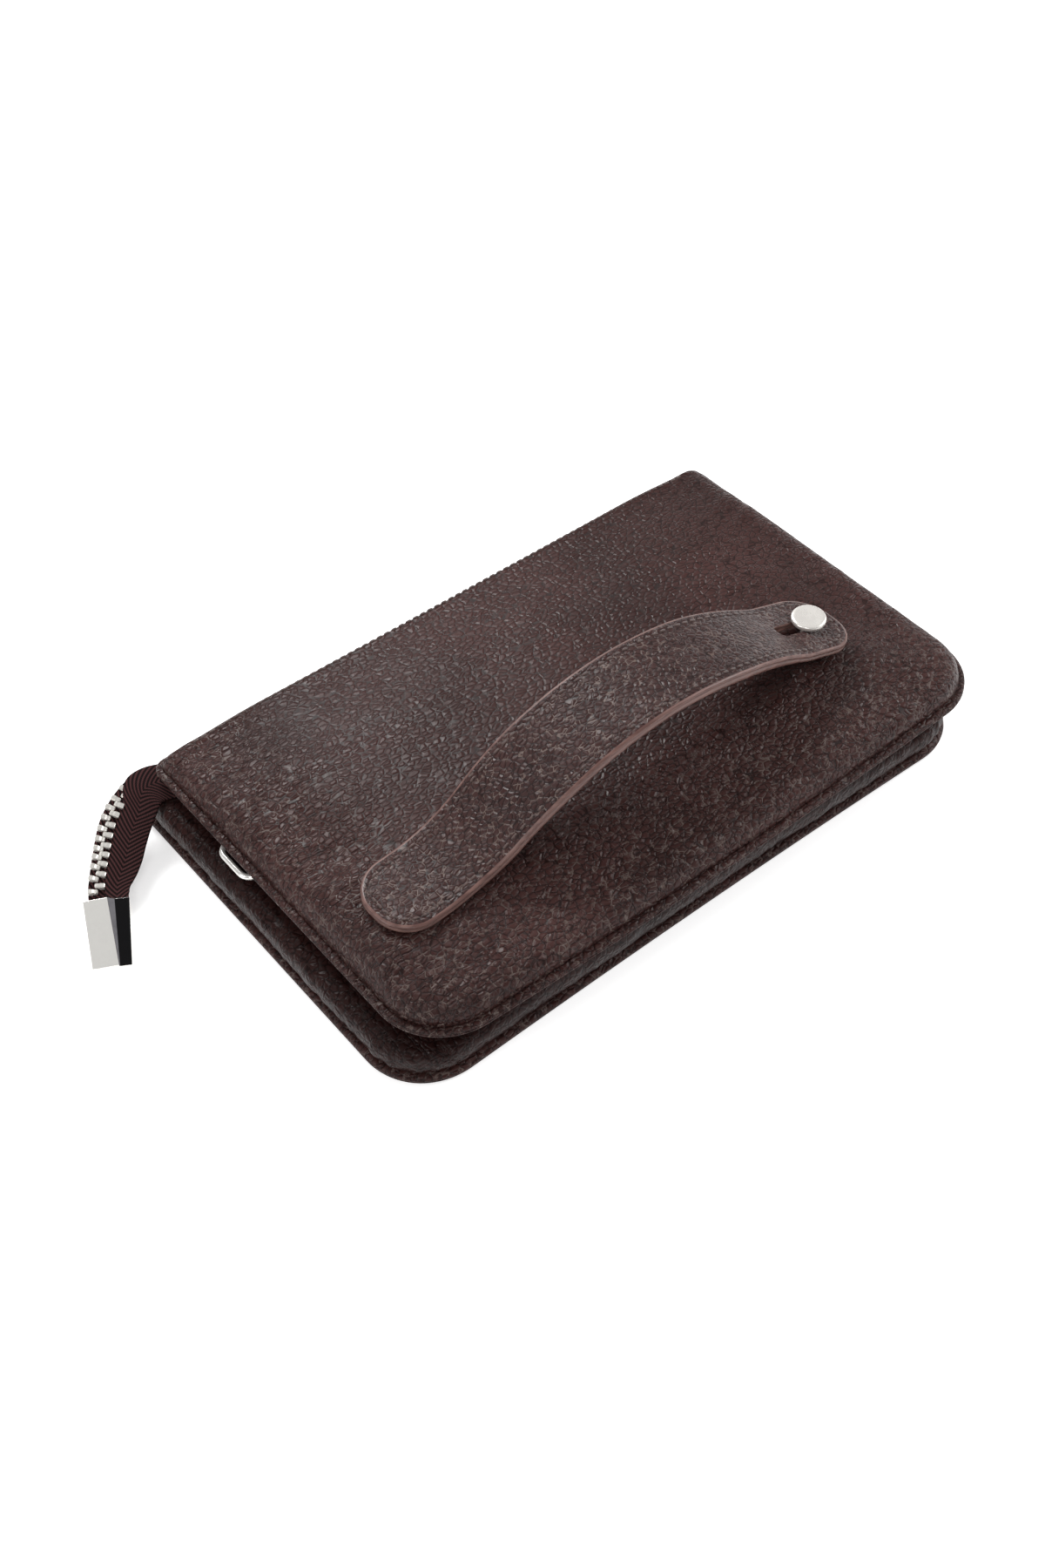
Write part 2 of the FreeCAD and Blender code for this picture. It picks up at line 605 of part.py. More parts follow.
def strap_layer(bottom, top):
    """One leather layer of the whole strap, with rounded ends and the stud's slot."""
    lower, lower_start, lower_end = strap_line(bottom)
    upper, upper_start, upper_end = strap_line(top)
    ends = [Part.LineSegment(lower_end, upper_end).toShape(),
            Part.LineSegment(upper_start, lower_start).toShape()]
    face = Part.Face(Part.Wire(Part.__sortEdges__(lower + upper + ends)))
    width, line = size("strap_width"), size("strap_line")
    strip = face.extrude(Y_AXIS * width)
    strip.translate(Y_AXIS * (line - width / 2))
    outline = Part.makeBox(size("strap_right") - size("strap_left"), width, 100,
                           Vector(size("strap_left"), line - width / 2, 0))
    outline = outline.makeFillet(size("strap_corner"), [edge for edge in outline.Edges if upright(edge)])
    half = size("slot_width") / 2
    slot_end = size("stud_line") + half + 0.1
    slot = Part.makeBox(slot_end - size("slot_start") - 2 * half, 2 * half, 100,
                        Vector(size("slot_start") + half, line - half, 0))
    for x in (size("slot_start") + half, slot_end - half):
        slot = slot.fuse(Part.makeCylinder(half, 100, Vector(x, line, 0)))
    return strip.common(outline).cut(slot)


def make_strap():
    """Sewn end and two arms, each in two layers, parted where the strap bends."""
    half_layer_gap, gap = size("layer_gap") / 2, size("joint_gap") / 2
    crest_x = size("rise_start") + (size("rise_radius") + size("crest_radius")) * math.sin(
        math.radians(size("crest_angle")))
    bends = [size("strap_left") - 1, size("arm_start"), crest_x, size("strap_right") + 1]
    shift = FreeCAD.Placement(Vector(size("front_shift_x"), size("front_shift_y"), 0),
                              FreeCAD.Rotation())
    layers = (("top", half_layer_gap, half_layer_gap + size("strap_layer")),
              ("under", -half_layer_gap - size("strap_layer"), -half_layer_gap))
    for layer, bottom, top in layers:
        whole = strap_layer(bottom, top)
        for segment, start, end in zip(("sewn_end", "rear_arm", "stud_arm"), bends, bends[1:]):
            window = Part.makeBox(end - start - 2 * gap, 60, 100, Vector(start + gap, -60, 0))
            solid_feature(f"strap_{layer}_{segment}", whole.common(window), shift)


# ---------------------------------------------------------------- build, check and write
make_back_panel()
flat_layer("back_stiffener", "Sizes.back_board_inset", "Sizes.board",
           "Sizes.leather + Sizes.layer_gap", False)
flat_layer("back_lining", "Sizes.layer_inset", "Sizes.cloth", "Sizes.back_rim - Sizes.cloth", False)
make_gusset()
make_front_panel()
make_front_padding()
flat_layer("front_stiffener", "Sizes.layer_inset", "Sizes.board",
           "Sizes.lip_bottom + Sizes.board_level", True)
flat_layer("front_lining", "Sizes.layer_inset", "Sizes.cloth",
           "Sizes.lip_bottom + Sizes.cloth_level", True)
for side, on_front in (("back", False), ("front", True)):
    make_tape(f"zip_tape_{side}", on_front)
    make_teeth(f"zip_teeth_{side}", on_front)
    keep(make_stop(f"zip_stop_{side}", on_front), f"zip_stop_{side}")
make_slider()
make_pull()
make_tail_tape("tail_tape_upper", size("tail_tape_gap") / 2)
make_tail_tape("tail_tape_lower", -size("tail_tape_gap") / 2 - size("tape_thickness"))
make_tail_teeth("tail_teeth_upper", 0, 0.1)
make_tail_teeth("tail_teeth_lower", size("tooth_pitch") / 2, -0.1 - size("tail_tooth_depth"))
make_tail_cap()
make_ring_tab()
make_d_ring()
make_stud()
washer_level = "Sizes.crown_top - Sizes.leather - Sizes.layer_gap - Sizes.washer_thickness"
nut_level = f"{washer_level} - Sizes.layer_gap - Sizes.nut_thickness"
make_disc("stud_washer", "Sizes.washer_diameter", "Sizes.washer_thickness", washer_level)
make_disc("stud_nut", "Sizes.nut_diameter", "Sizes.nut_thickness", nut_level)
make_strap()

document.recompute()
failed = [item.Name for item in document.Objects if {"Invalid", "Error"} & set(item.State)]
if failed:
    raise RuntimeError(f"failed objects: {failed}")
os.makedirs("parts", exist_ok=True)
for part in parts:
    if part.Shape.isNull() or not part.Shape.isValid():
        raise RuntimeError(f"{part.Label} has a bad shape")
    part.Shape.exportStep(f"parts/{part.Label}.step")
print(f"{len(parts)} sub-parts written")
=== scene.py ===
import json
import math

import bmesh
import bpy
from mathutils import Matrix, Vector, noise

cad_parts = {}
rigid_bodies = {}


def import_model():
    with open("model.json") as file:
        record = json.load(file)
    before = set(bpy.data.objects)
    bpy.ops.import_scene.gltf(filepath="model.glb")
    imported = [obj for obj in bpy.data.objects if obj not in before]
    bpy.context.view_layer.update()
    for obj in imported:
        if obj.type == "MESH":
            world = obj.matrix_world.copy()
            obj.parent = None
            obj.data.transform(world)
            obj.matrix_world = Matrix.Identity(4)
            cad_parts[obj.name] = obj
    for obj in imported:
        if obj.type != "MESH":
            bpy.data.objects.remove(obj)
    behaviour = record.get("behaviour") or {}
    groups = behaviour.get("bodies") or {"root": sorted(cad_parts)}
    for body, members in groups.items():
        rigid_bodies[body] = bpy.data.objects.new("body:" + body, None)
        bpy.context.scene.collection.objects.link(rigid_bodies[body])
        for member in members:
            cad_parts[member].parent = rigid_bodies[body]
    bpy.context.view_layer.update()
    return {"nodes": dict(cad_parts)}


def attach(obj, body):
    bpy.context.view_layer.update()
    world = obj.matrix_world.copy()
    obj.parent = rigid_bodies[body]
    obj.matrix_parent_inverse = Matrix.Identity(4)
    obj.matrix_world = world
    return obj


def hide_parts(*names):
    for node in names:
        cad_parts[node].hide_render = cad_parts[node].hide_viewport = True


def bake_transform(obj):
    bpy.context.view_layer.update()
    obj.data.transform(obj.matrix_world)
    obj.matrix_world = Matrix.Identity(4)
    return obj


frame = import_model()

# Detailed pieces for the leather pouch.
MM = 0.001

# leaves at their seam lines; the front leaf is set over by FRONT
HALF_X, HALF_Y = 115.0, 70.5
NEAR_RADIUS, FAR_RADIUS = 20.0, 4.0
FRONT = Vector((5.0, -1.0, 0.0))
SEAM_LEVEL, CROWN = 22.5, 9.0
LEATHER = 0.9
NEAR_BULGE = 2.6
LOWER_BULGE = -1.4

# hand strap, before the front leaf's shift
STRAP_Y, STRAP_HALF, STRAP_CORNER = -27.5, 14.0, 12.5
STRAP_LEFT, STRAP_RIGHT = -103.4, 85.4
STRAP_LEVEL, RISE_START, RISE_RADIUS = 33.35, -86.0, 46.0
CREST_RADIUS, CREST_ANGLE = 100.0, math.radians(36)
FALL_RADIUS, FALL_ANGLE = 112.0, math.radians(30)
RUN_OUT_RADIUS, TIP_SLOPE = 60.0, math.radians(16)
SLOT_START, SLOT_END, SLOT_HALF = 58.2, 76.1, 2.5
STUD_X = 73.6
STRAP_CUT = -40.0
STITCH_INSET, STITCH_STEP, CROSS_STITCH_X = 3.0, 3.1, -88.0
STRAP_LEAN, STRAP_WIDENING, UNDER_THICKENING = -1.6, 1.5, 0.62

# zip chain along the far edge; a tooth's size is its length, depth and height
CHAIN_Y, CHAIN_Z, TOOTH_PITCH = 66.0, 11.5, 3.3
CHAIN_START, CHAIN_TEETH, TOOTH_SIZE = -87.25, 53, (1.4, 2.45, 3.1)
TAIL_TEETH, TAIL_TOOTH_SIZE = 14, (1.7, 1.9, 3.1)
TAIL_POINTS = 16

# D-ring in the left-hand fold: half-width, reach, wire radius, and the bends at its bar and outside
RING_SEAT = Vector((-103.5, 24, 16.2))
RING_HALF, RING_REACH, RING_WIRE = 8.2, 9.2, 1.0
RING_BAR_BEND, RING_OUTER_BEND = 1.6, 4.0

# folded tail of the zip: its middle, the way from its free edge to its teeth, and where both edges stand;
# the cap sits a little past its end
TAIL_ROUTE = (
    ((-106, 64, 15.4), (0.05, 0.98, 0.12), -5.7, 5.7),
    ((-116, 66, 15.6), (-0.15, 0.93, 0.22), -5.4, 7.0),
    ((-126, 61, 12.6), (-0.55, 0.78, 0.30), -6.2, 8.2),
    ((-135.5, 52.8, 9.2), (-0.75, 0.63, 0.20), -6.0, 7.6),
    ((-142, 47.3, 7.1), (-0.83, 0.55, 0.08), -5.0, 6.3),
    ((-145.6, 42.2, 6.0), (-0.88, 0.47, 0.02), -4.8, 5.7),
)
CAP_SHIFT, CAP_LENGTH = Vector((-2.2, -0.3, 0)), 22.0
CAP_HEADING, CAP_DROP = math.radians(241.6), math.radians(7)


# ---------------------------------------------------------------- small mathematics
def smooth(value, start, end):
    """0 before start, 1 after end, and an even curve between them."""
    t = min(max((value - start) / (end - start), 0.0), 1.0)
    return t * t * (3 - 2 * t)


def rolled(distance, radius):
    """Height of a quarter round, from 0 at its edge to 1."""
    t = min(max(distance / radius, 0.0), 1.0)
    return math.sqrt(1 - (1 - t) ** 2)


def mix(a, b, weight):
    return a + (b - a) * weight


def wobble(x, y, z=0.0):
    """Smooth noise between -1 and 1."""
    return noise.noise(Vector((x, y, z)))


def ridge(x, y, z=0.0):
    """Noise with narrow ridges, from 0 to 1."""
    return 1 - min(1.0, abs(wobble(x, y, z)) * 2.6)


def spline(points, count):
    """A smooth line of count points through vectors."""
    padded = [points[0] * 2 - points[1]] + list(points) + [points[-1] * 2 - points[-2]]
    line = []
    for index in range(count):
        place = index / (count - 1) * (len(points) - 1)
        start = min(int(place), len(points) - 2)
        t = place - start
        a, b, c, d = padded[start:start + 4]
        line.append(b + (c - a) * 0.5 * t + (a - b * 2.5 + c * 2 - d * 0.5) * t ** 2
                    + (b * 1.5 - a * 0.5 - c * 1.5 + d * 0.5) * t ** 3)
    return line


# ---------------------------------------------------------------- mesh helpers
def new_piece(name, points, faces, material, smooth_shaded=True, uvs=None, edging=None, edging_faces=()):
    """A mesh object from millimetre points, with a uv pair for each and a second material on some faces."""
    mesh = bpy.data.meshes.new(name)
    mesh.from_pydata([Vector(point) * MM for point in points], [], faces)
    if uvs:
        layer = mesh.uv_layers.new(name="UVMap")
        for loop in mesh.loops:
            layer.data[loop.index].uv = uvs[loop.vertex_index]
    for index in edging_faces:
        mesh.polygons[index].material_index = 1
    build = bmesh.new()
    build.from_mesh(mesh)
    bmesh.ops.remove_doubles(build, verts=build.verts, dist=2e-6)
    bmesh.ops.recalc_face_normals(build, faces=build.faces)
    build.to_mesh(mesh)
    build.free()
    for polygon in mesh.polygons:
        polygon.use_smooth = smooth_shaded
    mesh.materials.append(material)
    if edging:
        mesh.materials.append(edging)
    piece = bpy.data.objects.new(name, mesh)
    bpy.context.scene.collection.objects.link(piece)
    return piece


def gather(skins):
    """Points and faces of several skins as one."""
    points, faces = [], []
    for more_points, more_faces in skins:
        start = len(points)
        points += more_points
        faces += [tuple(start + index for index in face) for face in more_faces]
    return points, faces


def close_fan(points, faces, count, centre):
    """Close the first ring of count points with a fan about a centre."""
    points.append(centre)
    faces += [(len(points) - 1, index, (index + 1) % count) for index in range(count)]


def bridge(first, second, count, closed=True):
    """Quads between two runs of points that start at these indices."""
    last = count if closed else count - 1
    return [(first + i, first + (i + 1) % count, second + (i + 1) % count, second + i)
            for i in range(last)]


def loft(rings, closed=True, looped=False, capped=False):
    """Points and faces of a skin over rings of equal length."""
    count = len(rings[0])
    points = [point for ring in rings for point in ring]
    faces = []
    for index in range(len(rings) - 1):
        faces += bridge(index * count, (index + 1) * count, count, closed)
    if looped:
        faces += bridge((len(rings) - 1) * count, 0, count, closed)
    if capped:
        faces.append(tuple(range(count)))
        faces.append(tuple(range(len(points) - count, len(points))))
    return points, faces


def soften(piece, width, segments=2, angle=35):
    """Round the sharp edges of a piece or of a CAD node a little."""
    bevel = piece.modifiers.new("bevel", "BEVEL")
    bevel.width = width * MM
    bevel.segments = segments
    bevel.limit_method = "ANGLE"
    bevel.angle_limit = math.radians(angle)
    bevel.harden_normals = True
    return piece


def arc(centre, radius, start, steps):
    """Points and outward directions round a quarter turn that starts at an angle in degrees."""
    marks = []
    for index in range(steps + 1):
        turn = math.radians(start + 90 * index / steps)
        way = Vector((math.cos(turn), math.sin(turn), 0))
        marks.append((centre + way * radius, way))
    return marks


def straight(start, end, way, steps):
    """Points along a line, all but its last, with one outward direction."""
    return [(start.lerp(end, index / steps), way) for index in range(steps)]


def tube(path, radius, sides=16, closed=False):
    """Points and faces of a round tube along a path."""
    count = len(path)
    rings = []
    side = None
    for index, point in enumerate(path):
        before = path[index - 1] if closed or index else path[0]
        after = path[(index + 1) % count] if closed or index < count - 1 else path[-1]
        along = (after - before).normalized()
        if side is None:
            side = along.orthogonal().normalized()
        side = (side - along * side.dot(along)).normalized()
        up = along.cross(side)
        rings.append([point + side * radius * math.cos(turn) + up * radius * math.sin(turn)
                      for turn in (2 * math.pi * k / sides for k in range(sides))])
    return loft(rings, looped=closed, capped=not closed)


def stitches(name, marks, material, length=2.3, radius=0.42):
    """Short sunk threads; each mark is a middle point, a direction and an upward way."""
    stations = ((-0.5, 0.25, -0.25), (-0.38, 0.85, 0.0), (0.0, 1.0, 0.1), (0.38, 0.85, 0.0),
                (0.5, 0.25, -0.25))
    turns = [2 * math.pi * k / 8 for k in range(8)]
    skins = []
    for middle, along, upward in marks:
        along = along.normalized()
        across = upward.cross(along).normalized()
        rings = []
        for place, width, lift in stations:
            centre = middle + along * place * length + upward * lift * radius
            rings.append([centre + (across * math.cos(turn) * 1.25 + upward * math.sin(turn)) * radius * width
                          for turn in turns])
        skins.append(loft(rings, capped=True))
    return new_piece(name, *gather(skins), material)


def spaced(path, step):
    """Middle points and directions at an even step along a path."""
    marks, travelled, due = [], 0.0, step / 2
    for a, b in zip(path, path[1:]):
        run = (b - a).length
        while run > 0 and travelled + run >= due:
            marks.append((a.lerp(b, (due - travelled) / run), (b - a).normalized()))
            due += step
        travelled += run
    return marks


# ---------------------------------------------------------------- materials
class Shader:
    """A procedural material: add makes a node, wire links two sockets."""

    def __init__(self, name, **surface):
        self.material = bpy.data.materials.new(name)
        self.material.use_nodes = True
        self.tree = self.material.node_tree
        self.surface = self.tree.nodes["Principled BSDF"]
        for socket, value in surface.items():
            self.surface.inputs[socket.replace("_", " ")].default_value = value

    def add(self, kind, inputs=None, **settings):
        node = self.tree.nodes.new("ShaderNode" + kind)
        for setting, value in settings.items():
            setattr(node, setting, value)
        for socket, value in (inputs or {}).items():
            if isinstance(value, bpy.types.NodeSocket):
                self.tree.links.new(value, node.inputs[socket])
            else:
                node.inputs[socket].default_value = value
        return node

    def sum(self, operation, a, b=0.0):
        return self.add("Math", {0: a, 1: b}, operation=operation).outputs[0]

    def span(self, value, low, high, to_low=0.0, to_high=1.0):
        """The value's range low to high, mapped smoothly to another."""
        node = self.add("MapRange", {"Value": value, "From Min": low, "From Max": high,
                                     "To Min": to_low, "To Max": to_high},
                        interpolation_type="SMOOTHSTEP")
        return node.outputs["Result"]

    def blend(self, factor, first, second):
        node = self.add("Mix", {"Factor": factor}, data_type="RGBA")
        for socket, value in ((6, first), (7, second)):
            if isinstance(value, bpy.types.NodeSocket):
                self.tree.links.new(value, node.inputs[socket])
            else:
                node.inputs[socket].default_value = (*value, 1)
        return node.outputs[2]

    def noise(self, vector, scale, detail=2.0, roughness=0.5):
        node = self.add("TexNoise", {"Vector": vector, "Scale": scale, "Detail": detail,
                                     "Roughness": roughness})
        return node.outputs["Fac"]

    def stretched(self, vector, scale):
        return self.add("Mapping", {"Vector": vector, "Scale": scale}).outputs[0]

    def bump(self, height, distance, strength=1.0, under=None):
        inputs = {"Height": height, "Distance": distance, "Strength": strength}
        if under:
            inputs["Normal"] = under
        return self.add("Bump", inputs).outputs[0]

    def finish(self, colour=None, roughness=None, normal=None):
        for socket, value in (("Base Color", colour), ("Roughness", roughness), ("Normal", normal)):
            if value:
                self.tree.links.new(value, self.surface.inputs[socket])
        return self.material


def leather(name, dark, base, light, cell=500.0, grain=(1.0, 1.0, 1.0), relief=0.0007, rough=(0.30, 0.44),
            painted_glint_level=0.5, creased=0.0, specular=0.32):
    """Pebbled leather: rounded cells with painted shade in the grooves between them, painted highlights in
    the light colour along cell edges, and creases near the rims with painted highlight lines along them.
    """
    shader = Shader(name, Specular_IOR_Level=specular)
    place = shader.add("TexCoord").outputs["Object"]
    drift = shader.add("TexNoise", {"Vector": place, "Scale": 240.0, "Detail": 1.0})
    shifted = shader.add("VectorMath", {0: drift.outputs["Color"], 1: (0.0010, 0.0010, 0.0010)},
                         operation="MULTIPLY")
    bent = shader.add("VectorMath", {0: place, 1: shifted.outputs[0]}, operation="ADD").outputs[0]
    laid = shader.stretched(bent, grain)
    cells = shader.add("TexVoronoi", {"Vector": laid, "Scale": cell}, feature="DISTANCE_TO_EDGE")
    distance = cells.outputs["Distance"]
    pebble = shader.span(distance, 0.0, 0.30)
    patches = shader.span(shader.noise(place, 42.0, 3.0), 0.32, 0.68, 0.65, 1.0)
    normal = shader.bump(shader.sum("MULTIPLY", pebble, patches), relief)
    # painted highlights: the light colour laid on cell edges in noise spots, standing in for glints on the
    # grain
    cell_edge = shader.span(distance, 0.03, 0.08, 1.0, 0.0)
    spots = shader.span(shader.noise(place, 420.0, 1.0), 0.52, 0.60)
    painted_glints = shader.sum("MULTIPLY", shader.sum("MULTIPLY", cell_edge, spots), painted_glint_level)
    if creased:
        axes = shader.add("SeparateXYZ", {"Vector": place})
        side = shader.span(axes.outputs["X"], -0.100, -0.062, 1.0, 0.0)
        near = shader.span(axes.outputs["Y"], -0.060, -0.020, 1.0, 0.0)
        rims = shader.sum("MAXIMUM", side, near)
        # painted highlights kept strong near the left and near edges, weakened elsewhere
        painted_glints = shader.sum("MULTIPLY", painted_glints, shader.sum("MAXIMUM", rims, 0.15))
        normal = shader.bump(shader.sum("MULTIPLY", pebble, rims), relief * 0.8, 1.0, normal)
        lines = []
        for scale, mask in (((60.0, 330.0, 120.0), side), ((330.0, 60.0, 120.0), near)):
            folds = shader.noise(shader.stretched(bent, scale), 1.0, 2.0, 0.5)
            valley = shader.span(shader.sum("ABSOLUTE", shader.sum("SUBTRACT", folds, 0.5)),
                                 0.0, 0.035, 1.0, 0.0)
            lines.append(shader.sum("MULTIPLY", valley, mask))
        crease = shader.sum("MAXIMUM", *lines)
        normal = shader.bump(crease, -0.0008, creased, normal)
        # painted highlight lines along the crease valleys
        bright = shader.sum("MULTIPLY", shader.sum("MULTIPLY", crease, spots), painted_glint_level * 0.4)
        painted_glints = shader.sum("MAXIMUM", painted_glints, bright)
    cloud = shader.span(shader.noise(place, 26.0, 4.0, 0.6), 0.3, 0.7)
    colour = shader.blend(cloud, dark, base)
    # painted shade: the grooves between cells darkened towards near-black
    groove = shader.span(distance, 0.0, 0.12, 0.85, 0.0)
    colour = shader.blend(groove, colour, tuple(value * 0.22 for value in dark))
    # lay the painted highlights over the colour
    colour = shader.blend(painted_glints, colour, light)
    gloss = shader.span(shader.noise(place, 300.0, 3.0), 0.3, 0.7, *rough)
    return shader.finish(colour, gloss, normal)


def painted_edge():
    """Painted leather edge: smooth and waxy with slight runs along it."""
    shader = Shader("strap_edge_paint", Specular_IOR_Level=0.5)
    place = shader.add("TexCoord").outputs["Object"]
    runs = shader.noise(shader.stretched(place, (90.0, 500.0, 900.0)), 1.0, 3.0)
    colour = shader.blend(shader.span(runs, 0.3, 0.7), (0.105, 0.050, 0.042), (0.185, 0.098, 0.082))
    return shader.finish(colour, shader.span(runs, 0.2, 0.8, 0.30, 0.46), shader.bump(runs, 0.00012))


def metal(name, colour, rough=(0.16, 0.28), wear=0.35, plated=0.6):
    """Plated metal with faint tarnish and fine scratches."""
    shader = Shader(name, Metallic=plated)
    place = shader.add("TexCoord").outputs["Object"]
    smear = shader.noise(place, 240.0, 4.0, 0.65)
    tint = shader.blend(shader.span(smear, 0.35, 0.75, 0.0, wear), colour,
                        tuple(value * 0.55 for value in colour))
    scratch = shader.noise(shader.stretched(place, (1500.0, 1500.0, 1500.0)), 1.0, 2.0)
    return shader.finish(tint, shader.span(smear, 0.3, 0.7, *rough), shader.bump(scratch, 0.00002, 0.35))


def woven(name, dark, light, thread=0.0005, rough=0.85):
    """Plain-weave cloth from crossed threads."""
    shader = Shader(name, Roughness=rough, Sheen_Weight=0.25)
    place = shader.add("TexCoord").outputs["Object"]
    waves = []
    for axis in ("X", "Y"):
        wave = shader.add("TexWave", {"Vector": place, "Scale": 1 / (thread * 20), "Distortion": 0.4,
                                      "Detail": 1.0, "Detail Scale": 2.0}, bands_direction=axis)
        waves.append(wave.outputs["Fac"])
    weave = shader.sum("MAXIMUM", *waves)
    cloud = shader.noise(place, 60.0, 3.0)
    colour = shader.blend(shader.sum("MULTIPLY", weave, shader.span(cloud, 0.2, 0.8, 0.7, 1.0)), dark, light)
    return shader.finish(colour, None, shader.bump(weave, 0.00012))


def herringbone(name, dark, light, pitch=1.6):
    """Woven zip tape: slanting ribs that meet along the tape's middle. The UV map is in millimetres."""
    shader = Shader(name, Roughness=0.78, Specular_IOR_Level=0.12)
    chart = shader.add("UVMap", uv_map="UVMap").outputs[0]
    axes = shader.add("SeparateXYZ", {"Vector": chart})
    across = shader.sum("ABSOLUTE", axes.outputs["X"])
    slant = shader.sum("MULTIPLY", shader.sum("ADD", axes.outputs["Y"], across), 2 * math.pi / pitch)
    ribs = shader.span(shader.sum("SINE", slant), -0.8, 0.8)
    threads = shader.sum("SINE", shader.sum("MULTIPLY", axes.outputs["X"], 2 * math.pi / 0.62))
    height = shader.sum("ADD", ribs, shader.sum("MULTIPLY", threads, 0.25))
    fuzz = shader.noise(chart, 6.0, 3.0)
    colour = shader.blend(shader.sum("MULTIPLY", ribs, shader.span(fuzz, 0.2, 0.8, 0.55, 1.0)), dark, light)
    return shader.finish(colour, None, shader.bump(height, 0.00018))


def fibre_board():
    shader = Shader("fibre_board", Roughness=0.9)
    place = shader.add("TexCoord").outputs["Object"]
    fibres = shader.noise(shader.stretched(place, (300.0, 900.0, 300.0)), 1.0, 4.0)
    colour = shader.blend(fibres, (0.33, 0.27, 0.20), (0.55, 0.48, 0.38))
    return shader.finish(colour, None, shader.bump(fibres, 0.0001))


# the third colour of each leather is its painted highlight colour
PANEL = leather("panel_leather", (0.034, 0.0128, 0.0112), (0.054, 0.0212, 0.0188), (0.32, 0.24, 0.21),
                cell=500.0, grain=(0.75, 1.15, 1.0), relief=0.00018, painted_glint_level=0.28, creased=0.45, specular=0.20)
GUSSET = leather("gusset_leather", (0.017, 0.0062, 0.0055), (0.027, 0.0104, 0.0092), (0.16, 0.11, 0.10),
                 cell=420.0, relief=0.00008, rough=(0.26, 0.36), painted_glint_level=0.08, creased=0.3, specular=0.10)
STRAP = leather("strap_leather", (0.036, 0.0145, 0.0132), (0.056, 0.0240, 0.0218), (0.30, 0.22, 0.19),
                cell=560.0, grain=(0.85, 1.1, 1.0), relief=0.00026, painted_glint_level=0.40, specular=0.25)
EDGE = painted_edge()
THREAD = woven("thread", (0.026, 0.012, 0.010), (0.090, 0.048, 0.040), thread=0.00025, rough=0.55)
LINING = woven("lining_cloth", (0.035, 0.026, 0.022), (0.085, 0.066, 0.056))
TAPE = herringbone("zip_tape_weave", (0.005, 0.0018, 0.0018), (0.080, 0.030, 0.030))
NICKEL = metal("zip_nickel", (0.88, 0.85, 0.80), (0.20, 0.32), 0.25)
CHROME = metal("chrome", (0.97, 0.95, 0.91), (0.12, 0.22), 0.12)
# a near-black copy of chrome: painted shade and dark reflection for the cap's shaded facets and mouth
SHADED_CHROME = metal("chrome_painted_shade", (0.030, 0.029, 0.031), (0.10, 0.20), 0.3, plated=1.0)
STUD_METAL = metal("stud_metal", (0.97, 0.93, 0.88), (0.20, 0.32), 0.15)
BOARD = fibre_board()


# ---------------------------------------------------------------- leaf outline
def leaf_edge(step=1.5):
    """Points round a leaf's outline from its far right corner, with outward normals and the run."""
    corners = ((1, 1, FAR_RADIUS, 0), (-1, 1, FAR_RADIUS, 90),
               (-1, -1, NEAR_RADIUS, 180), (1, -1, NEAR_RADIUS, 270))
    bends = []
    for sign_x, sign_y, radius, start in corners:
        centre = Vector((sign_x * (HALF_X - radius), sign_y * (HALF_Y - radius), 0))
        bends += arc(centre, radius, start, max(6, int(radius * math.pi / 2 / step * 1.6)))
    edge = []
    for (a, way_a), (b, way_b) in zip(bends, bends[1:] + bends[:1]):
        pieces = max(1, round((b - a).length / step))
        for index in range(pieces):
            edge.append((a.lerp(b, index / pieces), way_a.lerp(way_b, index / pieces).normalized()))
    run, marked = 0.0, []
    for (point, way), (after, _) in zip(edge, edge[1:] + edge[:1]):
        marked.append((point, way, run))
        run += (after - point).length
    return marked


EDGE_POINTS = leaf_edge()


def rim(inset, level, shift=Vector((0, 0, 0)), bulge=0.0):
    """One ring at an inset from the outline."""
    ring = []
    for point, way, _run in EDGE_POINTS:
        place = point - way * inset
        place.y -= near_bulge(place.x, place.y, bulge)
        place.x += end_swell(place.x)
        ring.append(Vector((place.x, place.y, level)) + shift)
    return ring


def end_swell(x):
    """How far the left and right ends swell outwards."""
    return 1.6 * smooth(x, 80.0, 113.0) - 1.2 * smooth(-x, 85.0, 113.0)


def near_bulge(x, y, amount):
    """How far the near side swells outwards at its middle."""
    return amount * (1 - min(1.0, (x / HALF_X) ** 2)) * smooth(-y, 5.0, 68.0)


def rim_inset(x, y):
    """Distance from the near, left and right edges of a leaf."""
    across = abs(x) - (HALF_X - NEAR_RADIUS)
    below = -y - (HALF_Y - NEAR_RADIUS)
    return NEAR_RADIUS - math.hypot(max(across, 0), max(below, 0)) - min(max(across, below), 0)


# ---------------------------------------------------------------- front leaf
def dome_level(x, y, from_rim, run):
    """Height of the puffed front leather over a point of the leaf, before the leaf's shift."""
    inner, far = rim_inset(x, y), HALF_Y - y
    body = 0.74 * rolled(inner, 10.0) + 0.26 * smooth(inner, 5.0, 38.0)
    slope = 0.62 * rolled(far, 3.6) + 0.38 * smooth(far, 1.0, 42.0)
    puff = CROWN * body * slope * rolled(from_rim, 3.5)
    puff += 0.9 * smooth(inner, 18.0, 48.0) * smooth(far, 30.0, 60.0)
    puff += 0.30 * wobble(x / 26, y / 22, 3.1) * smooth(inner, 4.0, 20.0) * smooth(far, 4.0, 20.0)
    ripple = smooth(from_rim, 0.5, 4.0) * (1 - smooth(inner, 10.0, 27.0))
    puff -= 0.34 * ridge(run / 7.5, inner / 60, 1.7) * ripple
    puff -= 0.20 * ridge(run / 3.4, inner / 25, 8.3) * ripple
    level = SEAM_LEVEL + puff
    foot = max(abs(x + 95.5) - 9.5, abs(y - STRAP_Y) - 14, 0)
    level = mix(level, 31.62, (1 - smooth(foot, 0.0, 9.0)))
    button = math.hypot(x - STUD_X, y - STRAP_Y)
    return mix(level, 31.45, 1 - smooth(button, 3.0, 14.0))


